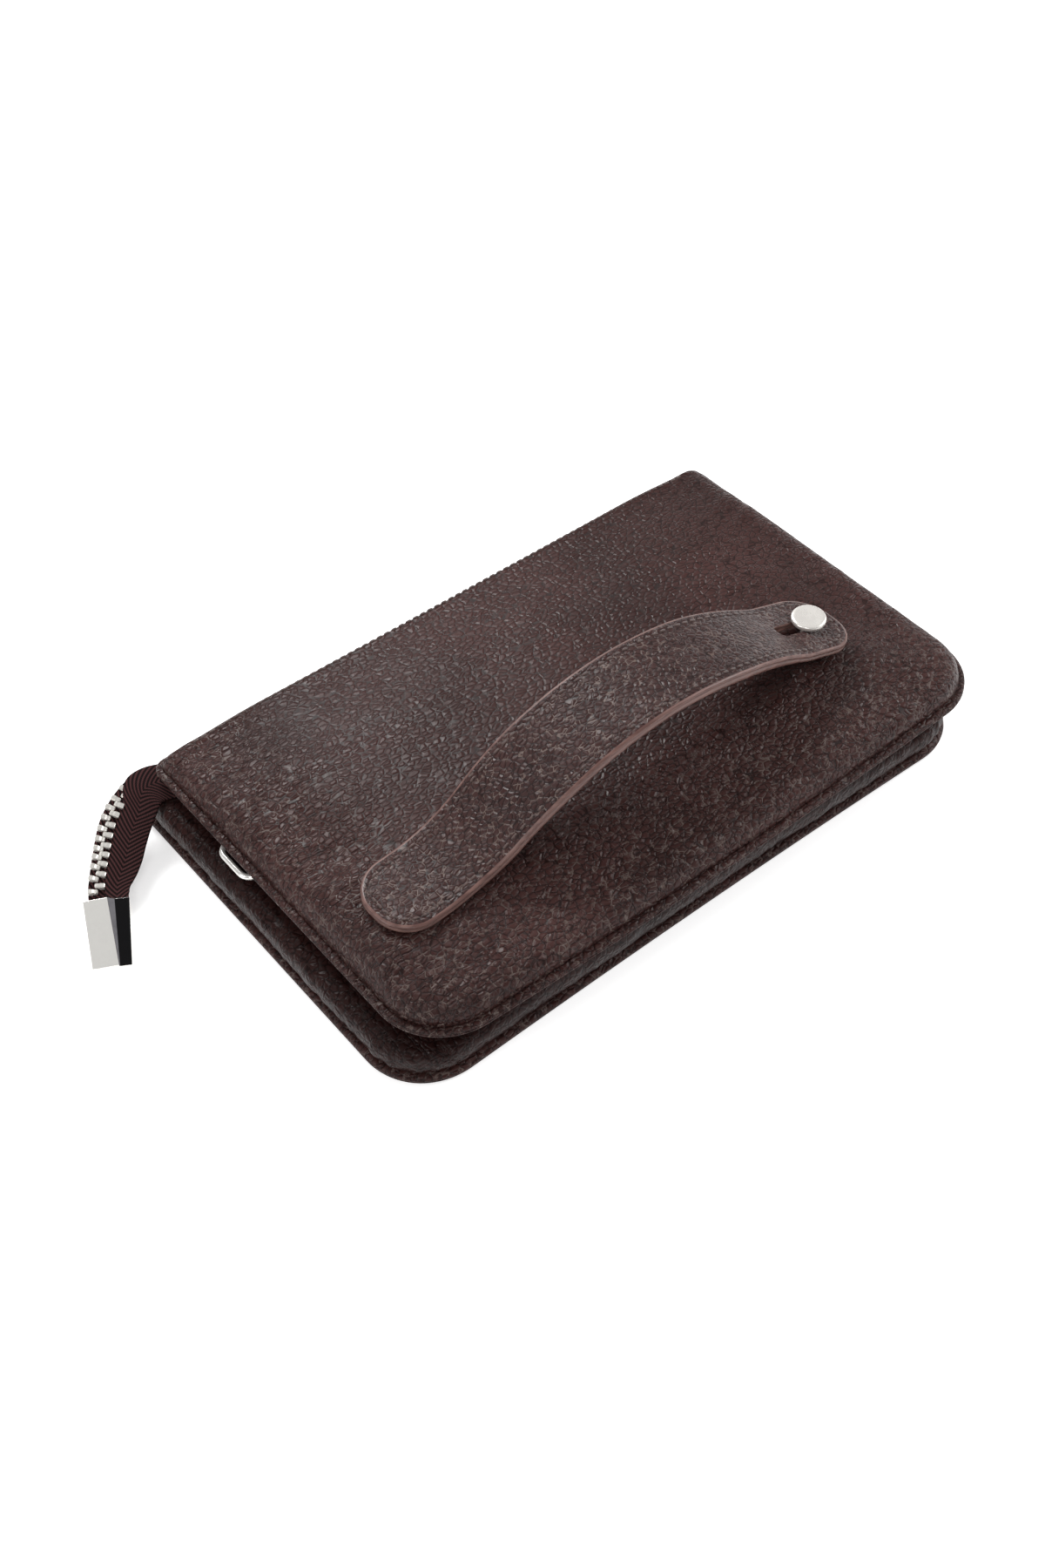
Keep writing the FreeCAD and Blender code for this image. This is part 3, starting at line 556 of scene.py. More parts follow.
def make_front_panel():
    """Padded front leather: the dome, the seam's crease, the grooved bead and its thread."""
    shares = [index / 22 * 0.84 for index in range(1, 23)]
    shares += [0.84 + 0.16 * (index / 26) ** 0.9 for index in range(1, 27)]
    rings = []
    for share in shares:
        ring = []
        for point, way, run in EDGE_POINTS:
            outer = point - way * 1.0
            place = outer * share
            level = dome_level(place.x, place.y, (outer - place).length, run)
            place.y -= near_bulge(place.x, place.y, NEAR_BULGE)
            place.x += end_swell(place.x)
            ring.append(Vector((place.x, place.y, level)) + FRONT)
        rings.append(ring)
    bead = ((1.5, 22.3), (1.75, 22.0), (1.2, 21.85), (0.2, 21.95), (-0.6, 21.75), (-1.05, 21.35),
            (-0.95, 21.0), (-0.5, 20.85), (-1.0, 20.65), (-1.15, 20.25), (-0.8, 19.85), (0.0, 19.7),
            (0.8, 19.65), (2.0, 19.6), (4.0, 19.6), (5.0, 19.9), (5.2, 20.5))
    rings += [rim(inset, level, FRONT, NEAR_BULGE) for inset, level in bead]
    points, faces = loft(rings)
    close_fan(points, faces, len(EDGE_POINTS), Vector((0, 0, dome_level(0, 0, 60, 0))) + FRONT)
    piece = new_piece("front_leather", points, faces, PANEL)
    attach(piece, "front_leaf")
    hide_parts("front_panel", "front_padding")
    seam = ((0.6, 20.98), (-0.72, 20.94), (-0.84, 20.86), (-0.72, 20.78), (0.6, 20.74))
    rings = [rim(inset, level, FRONT, NEAR_BULGE) for inset, level in seam]
    trim = new_piece("front_seam_thread", *loft(rings), THREAD)
    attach(trim, "front_leaf")


def make_front_stitches():
    """Topstitching along the front leaf's far edge."""
    marks = []
    y = HALF_Y - 3.6
    for index in range(71):
        x = -105 + index * 3.0
        before, level, after = [dome_level(x, y + step, 3.4, 50) for step in (-0.5, 0.0, 0.5)]
        upward = Vector((0, before - after, 1)).normalized()
        marks.append((Vector((x, y, level - 0.02)) + FRONT, Vector((1, 0, 0)), upward))
    piece = stitches("front_topstitch", marks, THREAD)
    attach(piece, "front_leaf")


# ---------------------------------------------------------------- back leaf
def make_back_panel():
    """Back leather: a flat underside and a grooved bead that rises to the lower seam."""
    rings = []
    for share in (0.02, 0.3, 0.6, 0.8, 0.92, 0.97):
        places = [point * share for point, _way, _run in EDGE_POINTS]
        rings.append([Vector((place.x, place.y - near_bulge(place.x, place.y, LOWER_BULGE), 0.0))
                      for place in places])
    bead = ((0.6, 0.02), (-0.6, 0.2), (-1.4, 0.6), (-1.6, 1.0), (-1.15, 1.3), (-1.6, 1.55), (-1.7, 2.0),
            (-1.2, 2.5), (-0.4, 2.8), (0.5, 2.95), (1.6, 2.95), (3.4, 2.95), (4.4, 2.7), (4.6, 2.3))
    rings += [rim(inset, level, bulge=LOWER_BULGE) for inset, level in bead]
    points, faces = loft(rings)
    faces.append(tuple(range(len(EDGE_POINTS))))
    piece = new_piece("back_leather", points, faces, PANEL)
    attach(piece, "back_leaf")
    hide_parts("back_panel")


def make_linings():
    """Cloth on the inner face of each leaf, slightly puckered."""
    for name, node, body, shift, level, bulge in (
            ("back_lining_cloth", "back_lining", "back_leaf", Vector((0, 0, 0)), 3.02, LOWER_BULGE),
            ("front_lining_cloth", "front_lining", "front_leaf", FRONT, 20.72, NEAR_BULGE)):
        rings = []
        for share in [index / 24 for index in range(1, 25)]:
            ring = []
            for point, way, _ in EDGE_POINTS:
                place = (point - way * 3.0) * share
                lift = 0.16 * wobble(place.x / 15, place.y / 15, level) * (1 - smooth(share, 0.9, 1.0))
                place.y -= near_bulge(place.x, place.y, bulge)
                ring.append(Vector((place.x, place.y, level + lift)) + shift)
            rings.append(ring)
        points, faces = loft(rings)
        close_fan(points, faces, len(EDGE_POINTS), Vector((0, 0, level)) + shift)
        piece = new_piece(name, points, faces, LINING)
        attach(piece, body)
        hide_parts(node)


# ---------------------------------------------------------------- gusset
def gusset_path(step=1.4):
    """The U round the left, near and right sides: points, outward normals and the run."""
    inner, low, top = HALF_X - NEAR_RADIUS, NEAR_RADIUS - HALF_Y, 66.0
    sides = int((top - low) / step)
    bend = int(NEAR_RADIUS * math.pi / 2 / step * 1.5)
    right = Vector((1, 0, 0))
    path = straight(Vector((-HALF_X, top, 0)), Vector((-HALF_X, low, 0)), -right, sides)
    path += arc(Vector((-inner, low, 0)), NEAR_RADIUS, 180, bend)[:-1]
    path += straight(Vector((-inner, -HALF_Y, 0)), Vector((inner, -HALF_Y, 0)), Vector((0, -1, 0)),
                     int(2 * inner / step))
    path += arc(Vector((inner, low, 0)), NEAR_RADIUS, 270, bend)[:-1]
    path += straight(Vector((HALF_X, low, 0)), Vector((HALF_X, top, 0)), right, sides)
    path.append((Vector((HALF_X, top, 0)), right))
    run, marked = 0.0, []
    for index, (point, way) in enumerate(path):
        if index:
            run += (point - path[index - 1][0]).length
        marked.append((point, way, run))
    return marked


def gusset_section(depth, closed):
    """Outward offset and level of the gusset's outer face: the lower roll, then the inward fold.

    closed is 0 at the pouch's ends, where the fold stands open, and 1 along its near side.
    """
    open_side = ((-0.9, 3.0), (0.2, 4.2), (1.1, 6.2), (1.3, 8.5), (0.8, 10.8), (-0.7, 12.5), (-3.2, 13.3),
                 (-depth * 0.55, 13.7), (1.0 - depth, 14.2), (-depth, 16.2), (1.0 - depth, 18.2),
                 (-depth * 0.55, 18.9), (-3.6, 19.2), (-1.4, 19.4), (0.2, 19.8))
    shut_side = ((-0.9, 3.0), (0.4, 4.4), (1.6, 6.8), (2.0, 9.6), (1.6, 12.4), (0.2, 14.9), (-2.2, 16.3),
                 (-depth * 0.55, 16.9), (1.0 - depth, 17.2), (-depth, 17.8), (1.0 - depth, 18.4),
                 (-depth * 0.55, 18.9), (-3.2, 19.1), (-1.4, 19.4), (0.2, 19.8))
    points = [Vector((mix(a[0], b[0], closed), mix(a[1], b[1], closed), 0))
              for a, b in zip(open_side, shut_side)]
    return spline(points, 43)


def make_gusset():
    """The gusset: pleated roll and fold, the top edge following the front leaf."""
    rings = []
    for point, way, run in gusset_path():
        depth = mix(8.5, 22.0, smooth(point.y, -48.0, 58.0))
        if point.x > 0:
            depth = mix(depth, 11.0, smooth(point.y, 36.0, 53.0))
        closed = smooth(HALF_X - NEAR_RADIUS - abs(point.x), 0.0, 50.0) * (1 if point.y < -60 else 0)
        outer = gusset_section(depth, closed)
        corner = 1 - smooth(abs(abs(point.x) - 104), 4.0, 26.0) if point.y < -40 else 0.0
        section, thick = [], []
        for place in outer:
            pleat = smooth(place.y, 3.4, 5.5) * (1 - smooth(place.y, 12.5, 17.0))
            pleat *= smooth(place.x, -6.0, -1.0)
            push = -0.42 * ridge(run / 5.2, place.y / 16, 2.2) - 0.30 * ridge(run / 2.6, place.y / 9, 5.9)
            push -= 0.35 * corner * ridge(run / 3.3, 0.2, 7.7)
            push += 0.5 * wobble(run / 30, 0.5, 4.4)
            section.append(Vector((place.x + push * pleat, place.y, 0)))
        for index, place in enumerate(section):
            before, after = section[max(index - 1, 0)], section[min(index + 1, len(section) - 1)]
            along = (after - before).normalized()
            thick.append(place + Vector((-along.y, along.x, 0)) * LEATHER)
        ring = []
        for place in section + thick[::-1]:
            lifted = smooth(place.y, 13.0, 19.5)
            spot = point + way * place.x
            spot.y -= near_bulge(spot.x, spot.y, mix(LOWER_BULGE, NEAR_BULGE, lifted))
            spot.x += end_swell(spot.x)
            ring.append(Vector((spot.x, spot.y, place.y)) + FRONT * lifted)
        rings.append(ring)
    points, faces = loft(rings)
    half = len(rings[0]) // 2
    for start in (0, len(points) - 2 * half):
        faces += [(start + i, start + i + 1, start + 2 * half - 2 - i, start + 2 * half - 1 - i)
                  for i in range(half - 1)]
    piece = new_piece("gusset_leather", points, faces, GUSSET)
    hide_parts("gusset")
    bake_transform(piece)


# ---------------------------------------------------------------- zip
def tooth(middle, along, across, upward, length, depth, height):
    """Points and faces of one tooth: a clamp over the tape that narrows to a rounded hook."""
    shape = ((-0.5, 0.86, 0.82), (-0.42, 1.0, 1.0), (-0.05, 1.0, 1.0), (0.12, 0.72, 0.9), (0.3, 0.74, 0.9),
             (0.45, 0.6, 0.78), (0.5, 0.4, 0.55))
    rings = []
    for place, wide, thick in shape:
        centre = middle + upward * place * height
        half_wide, half_thick = depth / 2 * wide, length / 2 * thick
        cut = min(half_wide, half_thick) * 0.35
        quarter = ((half_wide - cut, half_thick), (half_wide, half_thick - cut))
        outline = [(a, b) for a, b in quarter] + [(a, -b) for a, b in quarter[::-1]]
        outline += [(-a, -b) for a, b in quarter] + [(-a, b) for a, b in quarter[::-1]]
        rings.append([centre + across * a + along * b for a, b in outline])
    return loft(rings, capped=True)


def teeth_piece(name, frames):
    skins = [tooth(*tooth_frame) for tooth_frame in frames]
    return new_piece(name, *gather(skins), NICKEL, smooth_shaded=False)


def strip(name, stations, half_thick, material):
    """A ribbon with thickness; each station lists its points across it, and normals."""
    rings, uvs = [], []
    run = 0.0
    for index, (line, normals) in enumerate(stations):
        if index:
            run += (line[len(line) // 2] - stations[index - 1][0][len(line) // 2]).length
        top = [point + normal * half_thick for point, normal in zip(line, normals)]
        low = [point - normal * half_thick for point, normal in zip(line, normals)]
        rings.append(top + low[::-1])
        spans = [0.0]
        for a, b in zip(line, line[1:]):
            spans.append(spans[-1] + (b - a).length)
        row = [(span - spans[-1] / 2, run) for span in spans]
        uvs += row + row[::-1]
    points, faces = loft(rings, capped=True)
    return new_piece(name, points, faces, material, uvs=uvs)


def make_zip():
    """Woven tapes, single teeth, and metal finishes on the slider, pull and stops."""
    for side, sign, base in (("back", 1, 3.25), ("front", -1, 20.35)):
        profile = [Vector((0, 58, base)), Vector((0, 62, base)), Vector((0, 64.6, base + sign * 0.35)),
                   Vector((0, 65.8, base + sign * 1.5)), Vector((0, 66, base + sign * 3.2)),
                   Vector((0, 66, CHAIN_Z - sign * 2.6))]
        line = spline(profile, 22)
        last = len(line) - 1
        normals = []
        for index in range(len(line)):
            along = (line[min(index + 1, last)] - line[max(index - 1, 0)]).normalized()
            normals.append(Vector((0, -along.z, along.y)))
        stations = []
        for step in range(102):
            x = -101 + 2 * step
            wave = 0.12 * wobble(x / 9, sign * 3.0)
            stations.append(([point + Vector((x, wave, 0)) for point in line], normals))
        tape = strip(f"zip_tape_cloth_{side}", stations, 0.28, TAPE)
        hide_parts(f"zip_tape_{side}")
        start = CHAIN_START + (TOOTH_PITCH / 2 if side == "front" else 0)
        frames = [(Vector((start + index * TOOTH_PITCH, CHAIN_Y, CHAIN_Z - sign * 1.0)), Vector((1, 0, 0)),
                   Vector((0, 1, 0)), Vector((0, 0, sign)), *TOOTH_SIZE) for index in range(CHAIN_TEETH)]
        row = teeth_piece(f"zip_tooth_row_{side}", frames)
        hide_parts(f"zip_teeth_{side}")
        for piece in (tape, row):
            if side == "back":
                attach(piece, "back_leaf")
            else:
                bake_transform(piece)
    for node in ("zip_slider_body", "zip_pull", "zip_stop_back", "zip_stop_front"):
        finish_node(node, NICKEL, 0.22)


def finish_node(node, material, rounding=0.0):
    """Give a CAD node its material, and soft edges."""
    thing = frame["nodes"][node]
    thing.data.materials.clear()
    thing.data.materials.append(material)
    if rounding:
        soften(thing, rounding)


# ---------------------------------------------------------------- zip tail
def tail_frames(count):
    """Middle, along, across and upward directions down the tail, and where its edges stand."""
    middles = spline([Vector(station[0]) for station in TAIL_ROUTE], count)
    toothed = spline([Vector(station[1]).normalized() for station in TAIL_ROUTE], count)
    edges = spline([Vector((station[2], station[3], 0)) for station in TAIL_ROUTE], count)
    frames = []
    for index in range(count):
        along = (middles[min(index + 1, count - 1)] - middles[max(index - 1, 0)]).normalized()
        across = (toothed[index] - along * toothed[index].dot(along)).normalized()
        frames.append((middles[index], along, across, across.cross(along), edges[index].x, edges[index].y))
    return frames


def tail_line(tail_frame, share, low, high, lift):
    """Points across the tail from low to high, cupped a little, with an uneven free edge."""
    middle, _along, across, upward, free, _edge = tail_frame
    line = []
    for step in range(TAIL_POINTS):
        place = mix(low, high, step / (TAIL_POINTS - 1))
        cup = -0.5 * (place / 6.0) ** 2 * math.sin(math.pi * share)
        ripple = 0.16 * wobble(share * 9, place / 4)
        ripple += 0.25 * wobble(share * 16, 4.0) * (1 - smooth(place, free, free + 3))
        line.append(middle + across * place + upward * (lift + cup + ripple))
    return line


def make_tail():
    """The folded zip tail: two tapes, the meshed chain along its edge, and the metal cap."""
    frames = tail_frames(81)
    upper, lower = [], []
    for index, tail_frame in enumerate(frames):
        share = index / (len(frames) - 1)
        _middle, _along, _across, upward, free, edge = tail_frame
        fray = 0.22 * wobble(share * 14, 0.4)
        upper_edge = mix(edge - 3.6, edge + 1.9, 1 - smooth(share, 0.20, 0.36))
        normals = [upward] * TAIL_POINTS
        upper.append((tail_line(tail_frame, share, free + fray, upper_edge, 0.5), normals))
        lower.append((tail_line(tail_frame, share, free + 0.4 - fray, edge + 1.7, -0.5), normals))
    for side, stations in (("upper", upper), ("lower", lower)):
        tape = strip(f"tail_tape_cloth_{side}", stations, 0.27, TAPE)
        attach(tape, "zip_tail")
        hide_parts(f"tail_tape_{side}")
    dense = tail_frames(400)
    runs = [0.0]
    for a, b in zip(dense, dense[1:]):
        runs.append(runs[-1] + (b[0] - a[0]).length)
    for side, sign, start, place in (("upper", 1, 0.0, -2.0), ("lower", -1, TOOTH_PITCH / 2, 0.1)):
        teeth = []
        for index in range(TAIL_TEETH):
            distance = start + (index + 0.5) * TOOTH_PITCH
            near = min(range(len(runs)), key=lambda spot: abs(runs[spot] - distance))
            middle, along, across, upward, _free, edge = dense[near]
            sunk = -0.9 if distance / runs[-1] < 0.36 else 0.35
            centre = middle + across * (edge + place) + upward * sunk
            teeth.append((centre, along, upward, across * sign, *TAIL_TOOTH_SIZE))
        row = teeth_piece(f"tail_tooth_row_{side}", teeth)
        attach(row, "zip_tail")
        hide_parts(f"tail_teeth_{side}")
    make_cap()


def make_cap():
    """Faceted metal cap: a bright raised plane beside two facets given a near-black chrome as painted shade,
    hollow at its mouth, with painted shade on the mouth's inner walls.
    """
    mouth = ((-7.0, -3.3), (7.0, -3.3), (7.0, 1.9), (2.6, 2.3), (0.4, 3.7), (-7.0, 3.1))
    tip = ((-6.0, -3.3), (5.8, -3.3), (5.8, -1.4), (2.3, -1.2), (1.9, -0.9), (-6.0, -1.1))
    turn = Matrix.Rotation(CAP_HEADING, 3, "Z") @ Matrix.Rotation(CAP_DROP, 3, "Y")
    origin = Vector(TAIL_ROUTE[-1][0]) + CAP_SHIFT - turn @ Vector((1.5, 0, 0))
    rings = []
    for distance, scale, outline in ((3.4, 0.80, mouth), (0.0, 0.86, mouth), (0.0, 1.0, mouth),
                                     (CAP_LENGTH, 1.0, tip)):
        rings.append([origin + turn @ Vector((distance, across * scale, -0.5 + (up + 0.5) * scale))
                      for across, up in outline])
    points, faces = loft(rings, capped=True)
    cap = new_piece("tail_cap_metal", points, faces, CHROME, smooth_shaded=False)
    cap.data.materials.append(SHADED_CHROME)
    inverse = turn.transposed()
    for polygon in cap.data.polygons:
        local = inverse @ (polygon.center / MM - origin)
        facing = inverse @ polygon.normal
        # facets facing right and the mouth's inner walls take the near-black chrome: painted shade
        right_side = local.x > 5 and facing.z > 0.2 and local.y > -0.5
        inside_mouth = local.x < 2.5 and abs(facing.x) < 0.5
        if right_side or inside_mouth:
            polygon.material_index = 1
    soften(cap, 0.28, 3, 12)
    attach(cap, "zip_tail")
    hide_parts("tail_cap")


# ---------------------------------------------------------------- D-ring
def make_ring():
    """Polished D-ring and the leather tab looped round its bar."""
    bar_y, outer_y = RING_HALF - RING_BAR_BEND, RING_HALF - RING_OUTER_BEND
    outer_x = RING_OUTER_BEND - RING_REACH
    corners = ((-RING_BAR_BEND, bar_y, RING_BAR_BEND, 0), (outer_x, outer_y, RING_OUTER_BEND, 90),
               (outer_x, -outer_y, RING_OUTER_BEND, 180), (-RING_BAR_BEND, -bar_y, RING_BAR_BEND, 270))
    path = []
    for x, y, radius, start in corners:
        path += [point for point, _way in arc(RING_SEAT + Vector((x, y, 0)), radius, start, 12)]
    points, faces = tube(path, RING_WIRE, 20, closed=True)
    ring = new_piece("d_ring_wire", points, faces, CHROME)
    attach(ring, "d_ring")
    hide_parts("d_ring")
    outer, bore = 1.9, 1.25
    section = []
    for index in range(13):
        turn = math.radians(90 + 180 * index / 12)
        section.append((math.cos(turn) * outer, math.sin(turn) * outer))
    section += [(3, -1.85), (6.6, -1.75), (6.7, -0.25), (3.0, -0.3)]
    section += [(math.cos(turn) * bore, math.sin(turn) * bore) for turn in
                (math.radians(310 - 260 * index / 12) for index in range(13))]
    section += [(3.0, 0.3), (6.7, 0.25), (6.6, 1.75), (3, 1.85)]
    rings = []
    for across, grow in ((-5, 0.86), (-4.7, 0.97), (-4.2, 1.0), (0, 1.03), (4.2, 1.0), (4.7, 0.97),
                         (5, 0.86)):
        rings.append([RING_SEAT + Vector((x, across, z * grow)) for x, z in section])
    points, faces = loft(rings, capped=True)
    tab = new_piece("d_ring_tab_leather", points, faces, GUSSET)
    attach(tab, "gusset_fold")
    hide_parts("d_ring_tab")


# ---------------------------------------------------------------- stud
def make_stud():
    """Turned stud: dished cap with a rolled rim, neck and collar."""
    profile = ((0.0, 44.05), (2.6, 44.08), (4.4, 44.18), (5.1, 44.2), (5.5, 44.08), (5.72, 43.8),
               (5.75, 43.3), (5.72, 42.85), (5.55, 42.5), (5.2, 42.4), (2.4, 42.4), (2.05, 42.2),
               (2.0, 41.6), (2.0, 33.2), (2.1, 32.6), (3.2, 32.35), (3.5, 32.1), (3.5, 31.55),
               (3.0, 31.5), (1.5, 31.5), (1.5, 27.0), (0.0, 26.9))
    centre = Vector((STUD_X, STRAP_Y, 0)) + FRONT
    turns = [2 * math.pi * index / 64 for index in range(64)]
    rings = [[centre + Vector((radius * math.cos(turn), radius * math.sin(turn), level)) for turn in turns]
             for radius, level in profile]
    points, faces = loft(rings)
    stud = new_piece("stud_turned", points, faces, STUD_METAL)
    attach(stud, "front_leaf")
    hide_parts("strap_stud")
    for node in ("stud_washer", "stud_nut"):
        finish_node(node, STUD_METAL)


# ---------------------------------------------------------------- hand strap
def strap_middle(x):
    """Height of the strap's middle line at a place along the leaf, and its slope."""
    upward = Vector((math.sin(CREST_ANGLE), -math.cos(CREST_ANGLE)))
    downward = Vector((math.sin(FALL_ANGLE), math.cos(FALL_ANGLE)))
    rise_centre = Vector((RISE_START, STRAP_LEVEL + RISE_RADIUS))
    crest_centre = rise_centre + upward * (RISE_RADIUS + CREST_RADIUS)
    fall_centre = crest_centre - Vector((0, FALL_RADIUS - CREST_RADIUS))
    run_centre = fall_centre + downward * (FALL_RADIUS + RUN_OUT_RADIUS)
    rise_end = RISE_START + RISE_RADIUS * math.sin(CREST_ANGLE)
    fall_end = fall_centre.x + FALL_RADIUS * math.sin(FALL_ANGLE)
    run_end = run_centre.x - RUN_OUT_RADIUS * math.sin(TIP_SLOPE)
    if x <= RISE_START:
        return STRAP_LEVEL, 0.0
    for limit, centre, radius, sign in ((rise_end, rise_centre, RISE_RADIUS, -1),
                                        (crest_centre.x, crest_centre, CREST_RADIUS, 1),
                                        (fall_end, fall_centre, FALL_RADIUS, 1),
                                        (run_end, run_centre, RUN_OUT_RADIUS, -1)):
        if x <= limit:
            height = math.sqrt(radius ** 2 - (x - centre.x) ** 2)
            return centre.y + sign * height, -sign * (x - centre.x) / height
    height, _ = strap_middle(run_end)
    return height - (x - run_end) * math.tan(TIP_SLOPE), -math.tan(TIP_SLOPE)


def strap_point(x, across, lift):
    """A point of the strap at a lift above its middle line; the sewn end leans a little to the near side."""
    height, slope = strap_middle(x)
    normal = Vector((-slope, 0, 1)).normalized()
    lean = STRAP_LEAN * (1 - smooth(x, -104, -66))
    if lift < 0:
        lift *= 1 + UNDER_THICKENING * smooth(x, -84, -60) * (1 - smooth(x, 44, 60))
    return Vector((x, STRAP_Y + lean + across, height)) + normal * lift + FRONT


def slot_half(x):
    """Half-width of the stud's slot at a place along the strap."""
    near = min(x - SLOT_START, SLOT_END - x)
    if near <= 0:
        return 0.0
    reach = max(0.0, SLOT_HALF - near)
    return math.sqrt(SLOT_HALF ** 2 - reach ** 2)


def strap_stations(start, end):
    """Stations along the strap: round ends by angle, the rest by length, close together at the slot."""
    stations = []
    turns = [math.radians(90 * index / 16) for index in range(17)]
    places = [STRAP_LEFT + STRAP_CORNER + 1.2 * index for index in range(1, 200)]
    if start == STRAP_LEFT:
        stations += [("left", turn) for turn in turns[::-1]]
    inner_end = min(end, STRAP_RIGHT - STRAP_CORNER)
    inner = [x for x in places if max(start, STRAP_LEFT + STRAP_CORNER) + 0.5 < x < inner_end - 0.5]
    if start != STRAP_LEFT:
        inner = [start] + inner
    slot = [SLOT_START + SLOT_HALF * (1 - math.cos(turn)) for turn in turns[::2]]
    slot += [SLOT_END - SLOT_HALF * (1 - math.cos(turn)) for turn in turns[::2]]
    if end == STRAP_RIGHT:
        inner = [x for x in inner if not SLOT_START - 0.6 < x < SLOT_END + 0.6]
        inner += [x for x in slot if x < inner_end - 0.02]
    else:
        inner.append(end)
    stations += [("middle", x) for x in sorted(inner)]
    if end == STRAP_RIGHT:
        stations += [("right", turn) for turn in turns]
    return stations


def strap_outline(station, inset):
    """Place along the strap and half-width there, of the outline drawn in by an inset."""
    kind, value = station
    if kind == "middle":
        wider = STRAP_WIDENING * smooth(value, -78, -36) * (1 - smooth(value, 24, 58))
        return value, STRAP_HALF + wider - inset
    radius = STRAP_CORNER - inset
    flat = STRAP_HALF - STRAP_CORNER
    if kind == "left":
        return STRAP_LEFT + STRAP_CORNER - radius * math.sin(value), flat + radius * math.cos(value)
    return STRAP_RIGHT - STRAP_CORNER + radius * math.sin(value), flat + radius * math.cos(value)


def face_lift(inset):
    """How the strap's face dips at its rim and along the stitch line."""
    dip = 0.16 * (1 - smooth(inset, 0.9, 1.8))
    groove = 0.30 * math.exp(-((inset - STITCH_INSET) / 0.62) ** 2)
    return 1.55 - dip - groove


FACE_SHARES = (0.0, 0.03, 0.07, 0.12, 0.16, 0.19, 0.21, 0.23, 0.26, 0.31, 0.4, 0.55, 0.7, 0.85, 0.95, 1.0)


def strap_face(stations, sign):
    """Top or under face in two halves that part at the slot."""
    points, faces = [], []
    width = len(FACE_SHARES)
    for half in (1, -1):
        base = len(points)
        open_here = []
        for station in stations:
            x, outer = strap_outline(station, 0.9)
            inner = slot_half(x) + (0.25 if slot_half(x) > 0.3 else 0.0)
            open_here.append(slot_half(x) > 1e-6)
            end_inset = min(x - STRAP_LEFT, STRAP_RIGHT - x)
            for share in FACE_SHARES:
                across = mix(outer, inner, share)
                rim_distance = min(outer - across + 0.9, end_inset + 0.2)
                lift = face_lift(rim_distance)
                near_slot = across - slot_half(x) if open_here[-1] else 9
                lift -= 0.15 * (1 - smooth(near_slot, 0.1, 0.9))
                points.append(strap_point(x, half * across, sign * lift))
        for index in range(len(stations) - 1):
            faces += bridge(base + index * width, base + (index + 1) * width, width, closed=False)
    return points, faces


def slot_wall():
    """The painted wall of the stud's slot."""
    lifts = ((0.25, 1.40), (0.03, 1.2), (0.0, 0.8), (0.1, 0.25), (0.3, 0.0), (0.1, -0.25), (0.0, -0.8),
             (0.03, -1.2), (0.25, -1.40))
    count = 40
    rings = []
    for back, lift in lifts:
        ring = []
        for index in range(count):
            turn = 2 * math.pi * index / count
            radius = SLOT_HALF + back
            end = SLOT_END - SLOT_HALF if math.cos(turn) >= 0 else SLOT_START + SLOT_HALF
            ring.append(strap_point(end + radius * math.cos(turn), radius * math.sin(turn), lift))
        rings.append(ring)
    return loft(rings)


def strap_rim(stations, with_left, with_right):
    """The painted edge: two rounded layers with a groove between them."""
    over = ((0.9, 1.39), (0.45, 1.30), (0.12, 1.08), (0.0, 0.75), (0.03, 0.36), (0.38, 0.06))
    profile = over + tuple((inset, -lift) for inset, lift in over[::-1])
    rings = []
    for inset, lift in profile:
        places = [strap_outline(station, inset) for station in stations]
        upper = [strap_point(x, width, lift) for x, width in places]
        lower = [strap_point(x, -width, lift) for x, width in places]
        rings.append((upper, lower))
    points, faces = [], []
    count = len(stations)
    for half in (0, 1):
        base = len(points)
        for ring in rings:
            points += ring[half]
        for index in range(len(rings) - 1):
            faces += bridge(base + index * count, base + (index + 1) * count, count, closed=False)
    offset = len(rings) * count
    for used, place in ((with_left, 0), (with_right, count - 1)):
        if used:
            for index in range(len(rings) - 1):
                faces.append((index * count + place, (index + 1) * count + place,
                              offset + (index + 1) * count + place, offset + index * count + place))
    return points, faces


def make_strap():
    """The strap in two pieces, cut at STRAP_CUT, and its stitching."""
    for name, start, end in (("strap_sewn_half", STRAP_LEFT, STRAP_CUT),
                             ("strap_stud_half", STRAP_CUT, STRAP_RIGHT)):
        stations = strap_stations(start, end)
        skins = [strap_face(stations, 1), strap_face(stations, -1),
                 strap_rim(stations, start == STRAP_LEFT, end == STRAP_RIGHT)]
        if end == STRAP_RIGHT:
            skins.append(slot_wall())
        leather_faces = len(skins[0][1]) + len(skins[1][1])
        points, faces = gather(skins)
        piece = new_piece(name, points, faces, STRAP, edging=EDGE,
                          edging_faces=range(leather_faces, len(faces)))
        bend_strap(piece, start == STRAP_LEFT)
    for node in ("sewn_end", "rear_arm", "stud_arm"):
        for layer in ("top", "under"):
            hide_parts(f"strap_{layer}_{node}")
    make_strap_stitches()


def bend_strap(piece, sewn):
    """Bake a strap piece's placement into its mesh, the same way for the sewn piece and the stud piece."""
    if sewn:
        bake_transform(piece)
    else:
        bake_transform(piece)


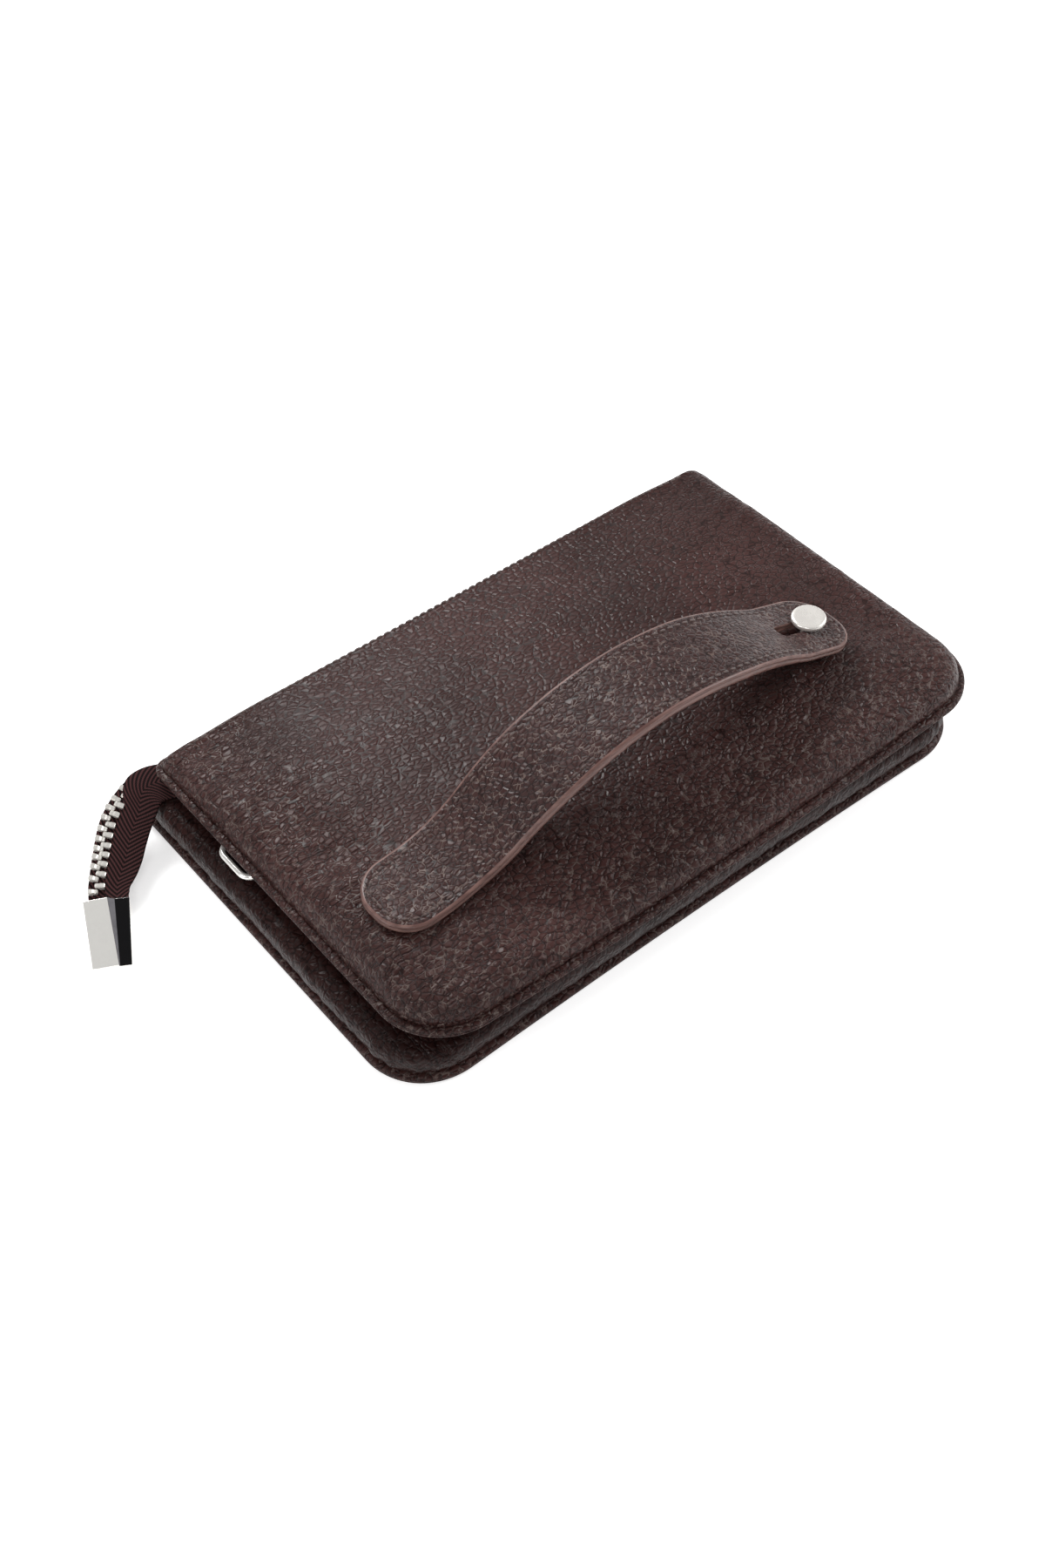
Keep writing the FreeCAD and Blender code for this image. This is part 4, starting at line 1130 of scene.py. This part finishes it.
def make_strap_stitches():
    """A line of stitches 3 mm inside the strap's edge, and the row that sews its end down."""
    stations = strap_stations(STRAP_LEFT, STRAP_RIGHT)
    places = [strap_outline(station, STITCH_INSET) for station in stations]
    path = [Vector((x, width, 0)) for x, width in places]
    path += [Vector((x, -width, 0)) for x, width in places[::-1]]
    path.append(path[0])
    marks = {True: [], False: []}
    rows = spaced(path, STITCH_STEP)
    cross = [Vector((CROSS_STITCH_X, mix(-11.0, 11.0, index / 20), 0)) for index in range(21)]
    rows += spaced(cross, 2.75)
    for middle, along in rows:
        for sign in (1, -1):
            spot = strap_point(middle.x, middle.y, sign * 1.36)
            ahead = strap_point(middle.x + along.x * 0.1, middle.y + along.y * 0.1, sign * 1.36)
            _height, slope = strap_middle(middle.x)
            upward = Vector((-slope, 0, 1)).normalized() * sign
            marks[middle.x < STRAP_CUT].append((spot, ahead - spot, upward))
    for sewn, listed in marks.items():
        piece = stitches("strap_stitches_sewn" if sewn else "strap_stitches_stud", listed, THREAD)
        bend_strap(piece, sewn)


# ---------------------------------------------------------------- hidden layers
def finish_hidden():
    for node in ("back_stiffener", "front_stiffener"):
        finish_node(node, BOARD)


# ---------------------------------------------------------------- studio
def make_studio():
    """Pale floor and soft even light."""
    bpy.ops.mesh.primitive_plane_add(size=8, location=(0, 0, -0.0003))
    floor = bpy.context.active_object
    floor.name = "studio_floor"
    shader = Shader("studio_floor", Roughness=0.9, Specular_IOR_Level=0.1, Emission_Strength=0.52,
                    Emission_Color=(1.0, 1.0, 1.0, 1.0))
    shader.surface.inputs["Base Color"].default_value = (0.93, 0.93, 0.93, 1)
    floor.data.materials.append(shader.material)
    world = bpy.data.worlds.new("studio")
    bpy.context.scene.world = world
    world.use_nodes = True
    background = world.node_tree.nodes["Background"]
    background.inputs["Color"].default_value = (1.0, 1.0, 1.0, 1)
    background.inputs["Strength"].default_value = 0.33
    bpy.context.scene.view_settings.view_transform = "Standard"
    lamps = (
        ("back_key", (0.15, 0.80, 0.85), 0.6, 0.30, 9.5),
        ("left_key", (-0.85, 0.10, 0.60), 0.4, 0.4, 2.5),
        ("right_fill", (0.85, -0.25, 0.65), 0.6, 0.5, 5.5),
        ("front_glint", (-0.62, -0.55, 0.85), 0.22, 0.22, 2.2),
    )
    for name, place, width, height, power in lamps:
        lamp = bpy.data.lights.new(name, "AREA")
        lamp.shape = "RECTANGLE"
        lamp.size, lamp.size_y = width, height
        lamp.energy = power
        thing = bpy.data.objects.new(name, lamp)
        bpy.context.scene.collection.objects.link(thing)
        thing.location = place
        thing.rotation_euler = (Vector((0, 0, 0.02)) - Vector(place)).to_track_quat("-Z", "Y").to_euler()


def make_camera():
    """The camera, at the photograph's viewing angle."""
    azimuth, elevation = math.radians(-39.43), math.radians(48.02)
    back = Vector((math.sin(azimuth) * math.cos(elevation), -math.cos(azimuth) * math.cos(elevation),
                   math.sin(elevation)))
    right = Vector((math.cos(azimuth), math.sin(azimuth), 0))
    up = back.cross(right)
    data = bpy.data.cameras.new("camera")
    data.sensor_fit = "VERTICAL"
    data.sensor_height = 36.0
    data.sensor_width = 24.0
    data.lens = 43.08
    data.clip_start = 0.01
    camera = bpy.data.objects.new("camera", data)
    bpy.context.scene.collection.objects.link(camera)
    turn = Matrix((right, up, back)).transposed().to_4x4()
    camera.matrix_world = Matrix.Translation(Vector((-275.85, -313.89, 458.4)) * MM) @ turn
    bpy.context.scene.camera = camera


make_front_panel()
make_front_stitches()
make_back_panel()
make_linings()
make_gusset()
make_zip()
make_tail()
make_ring()
make_stud()
make_strap()
finish_hidden()
make_studio()
make_camera()
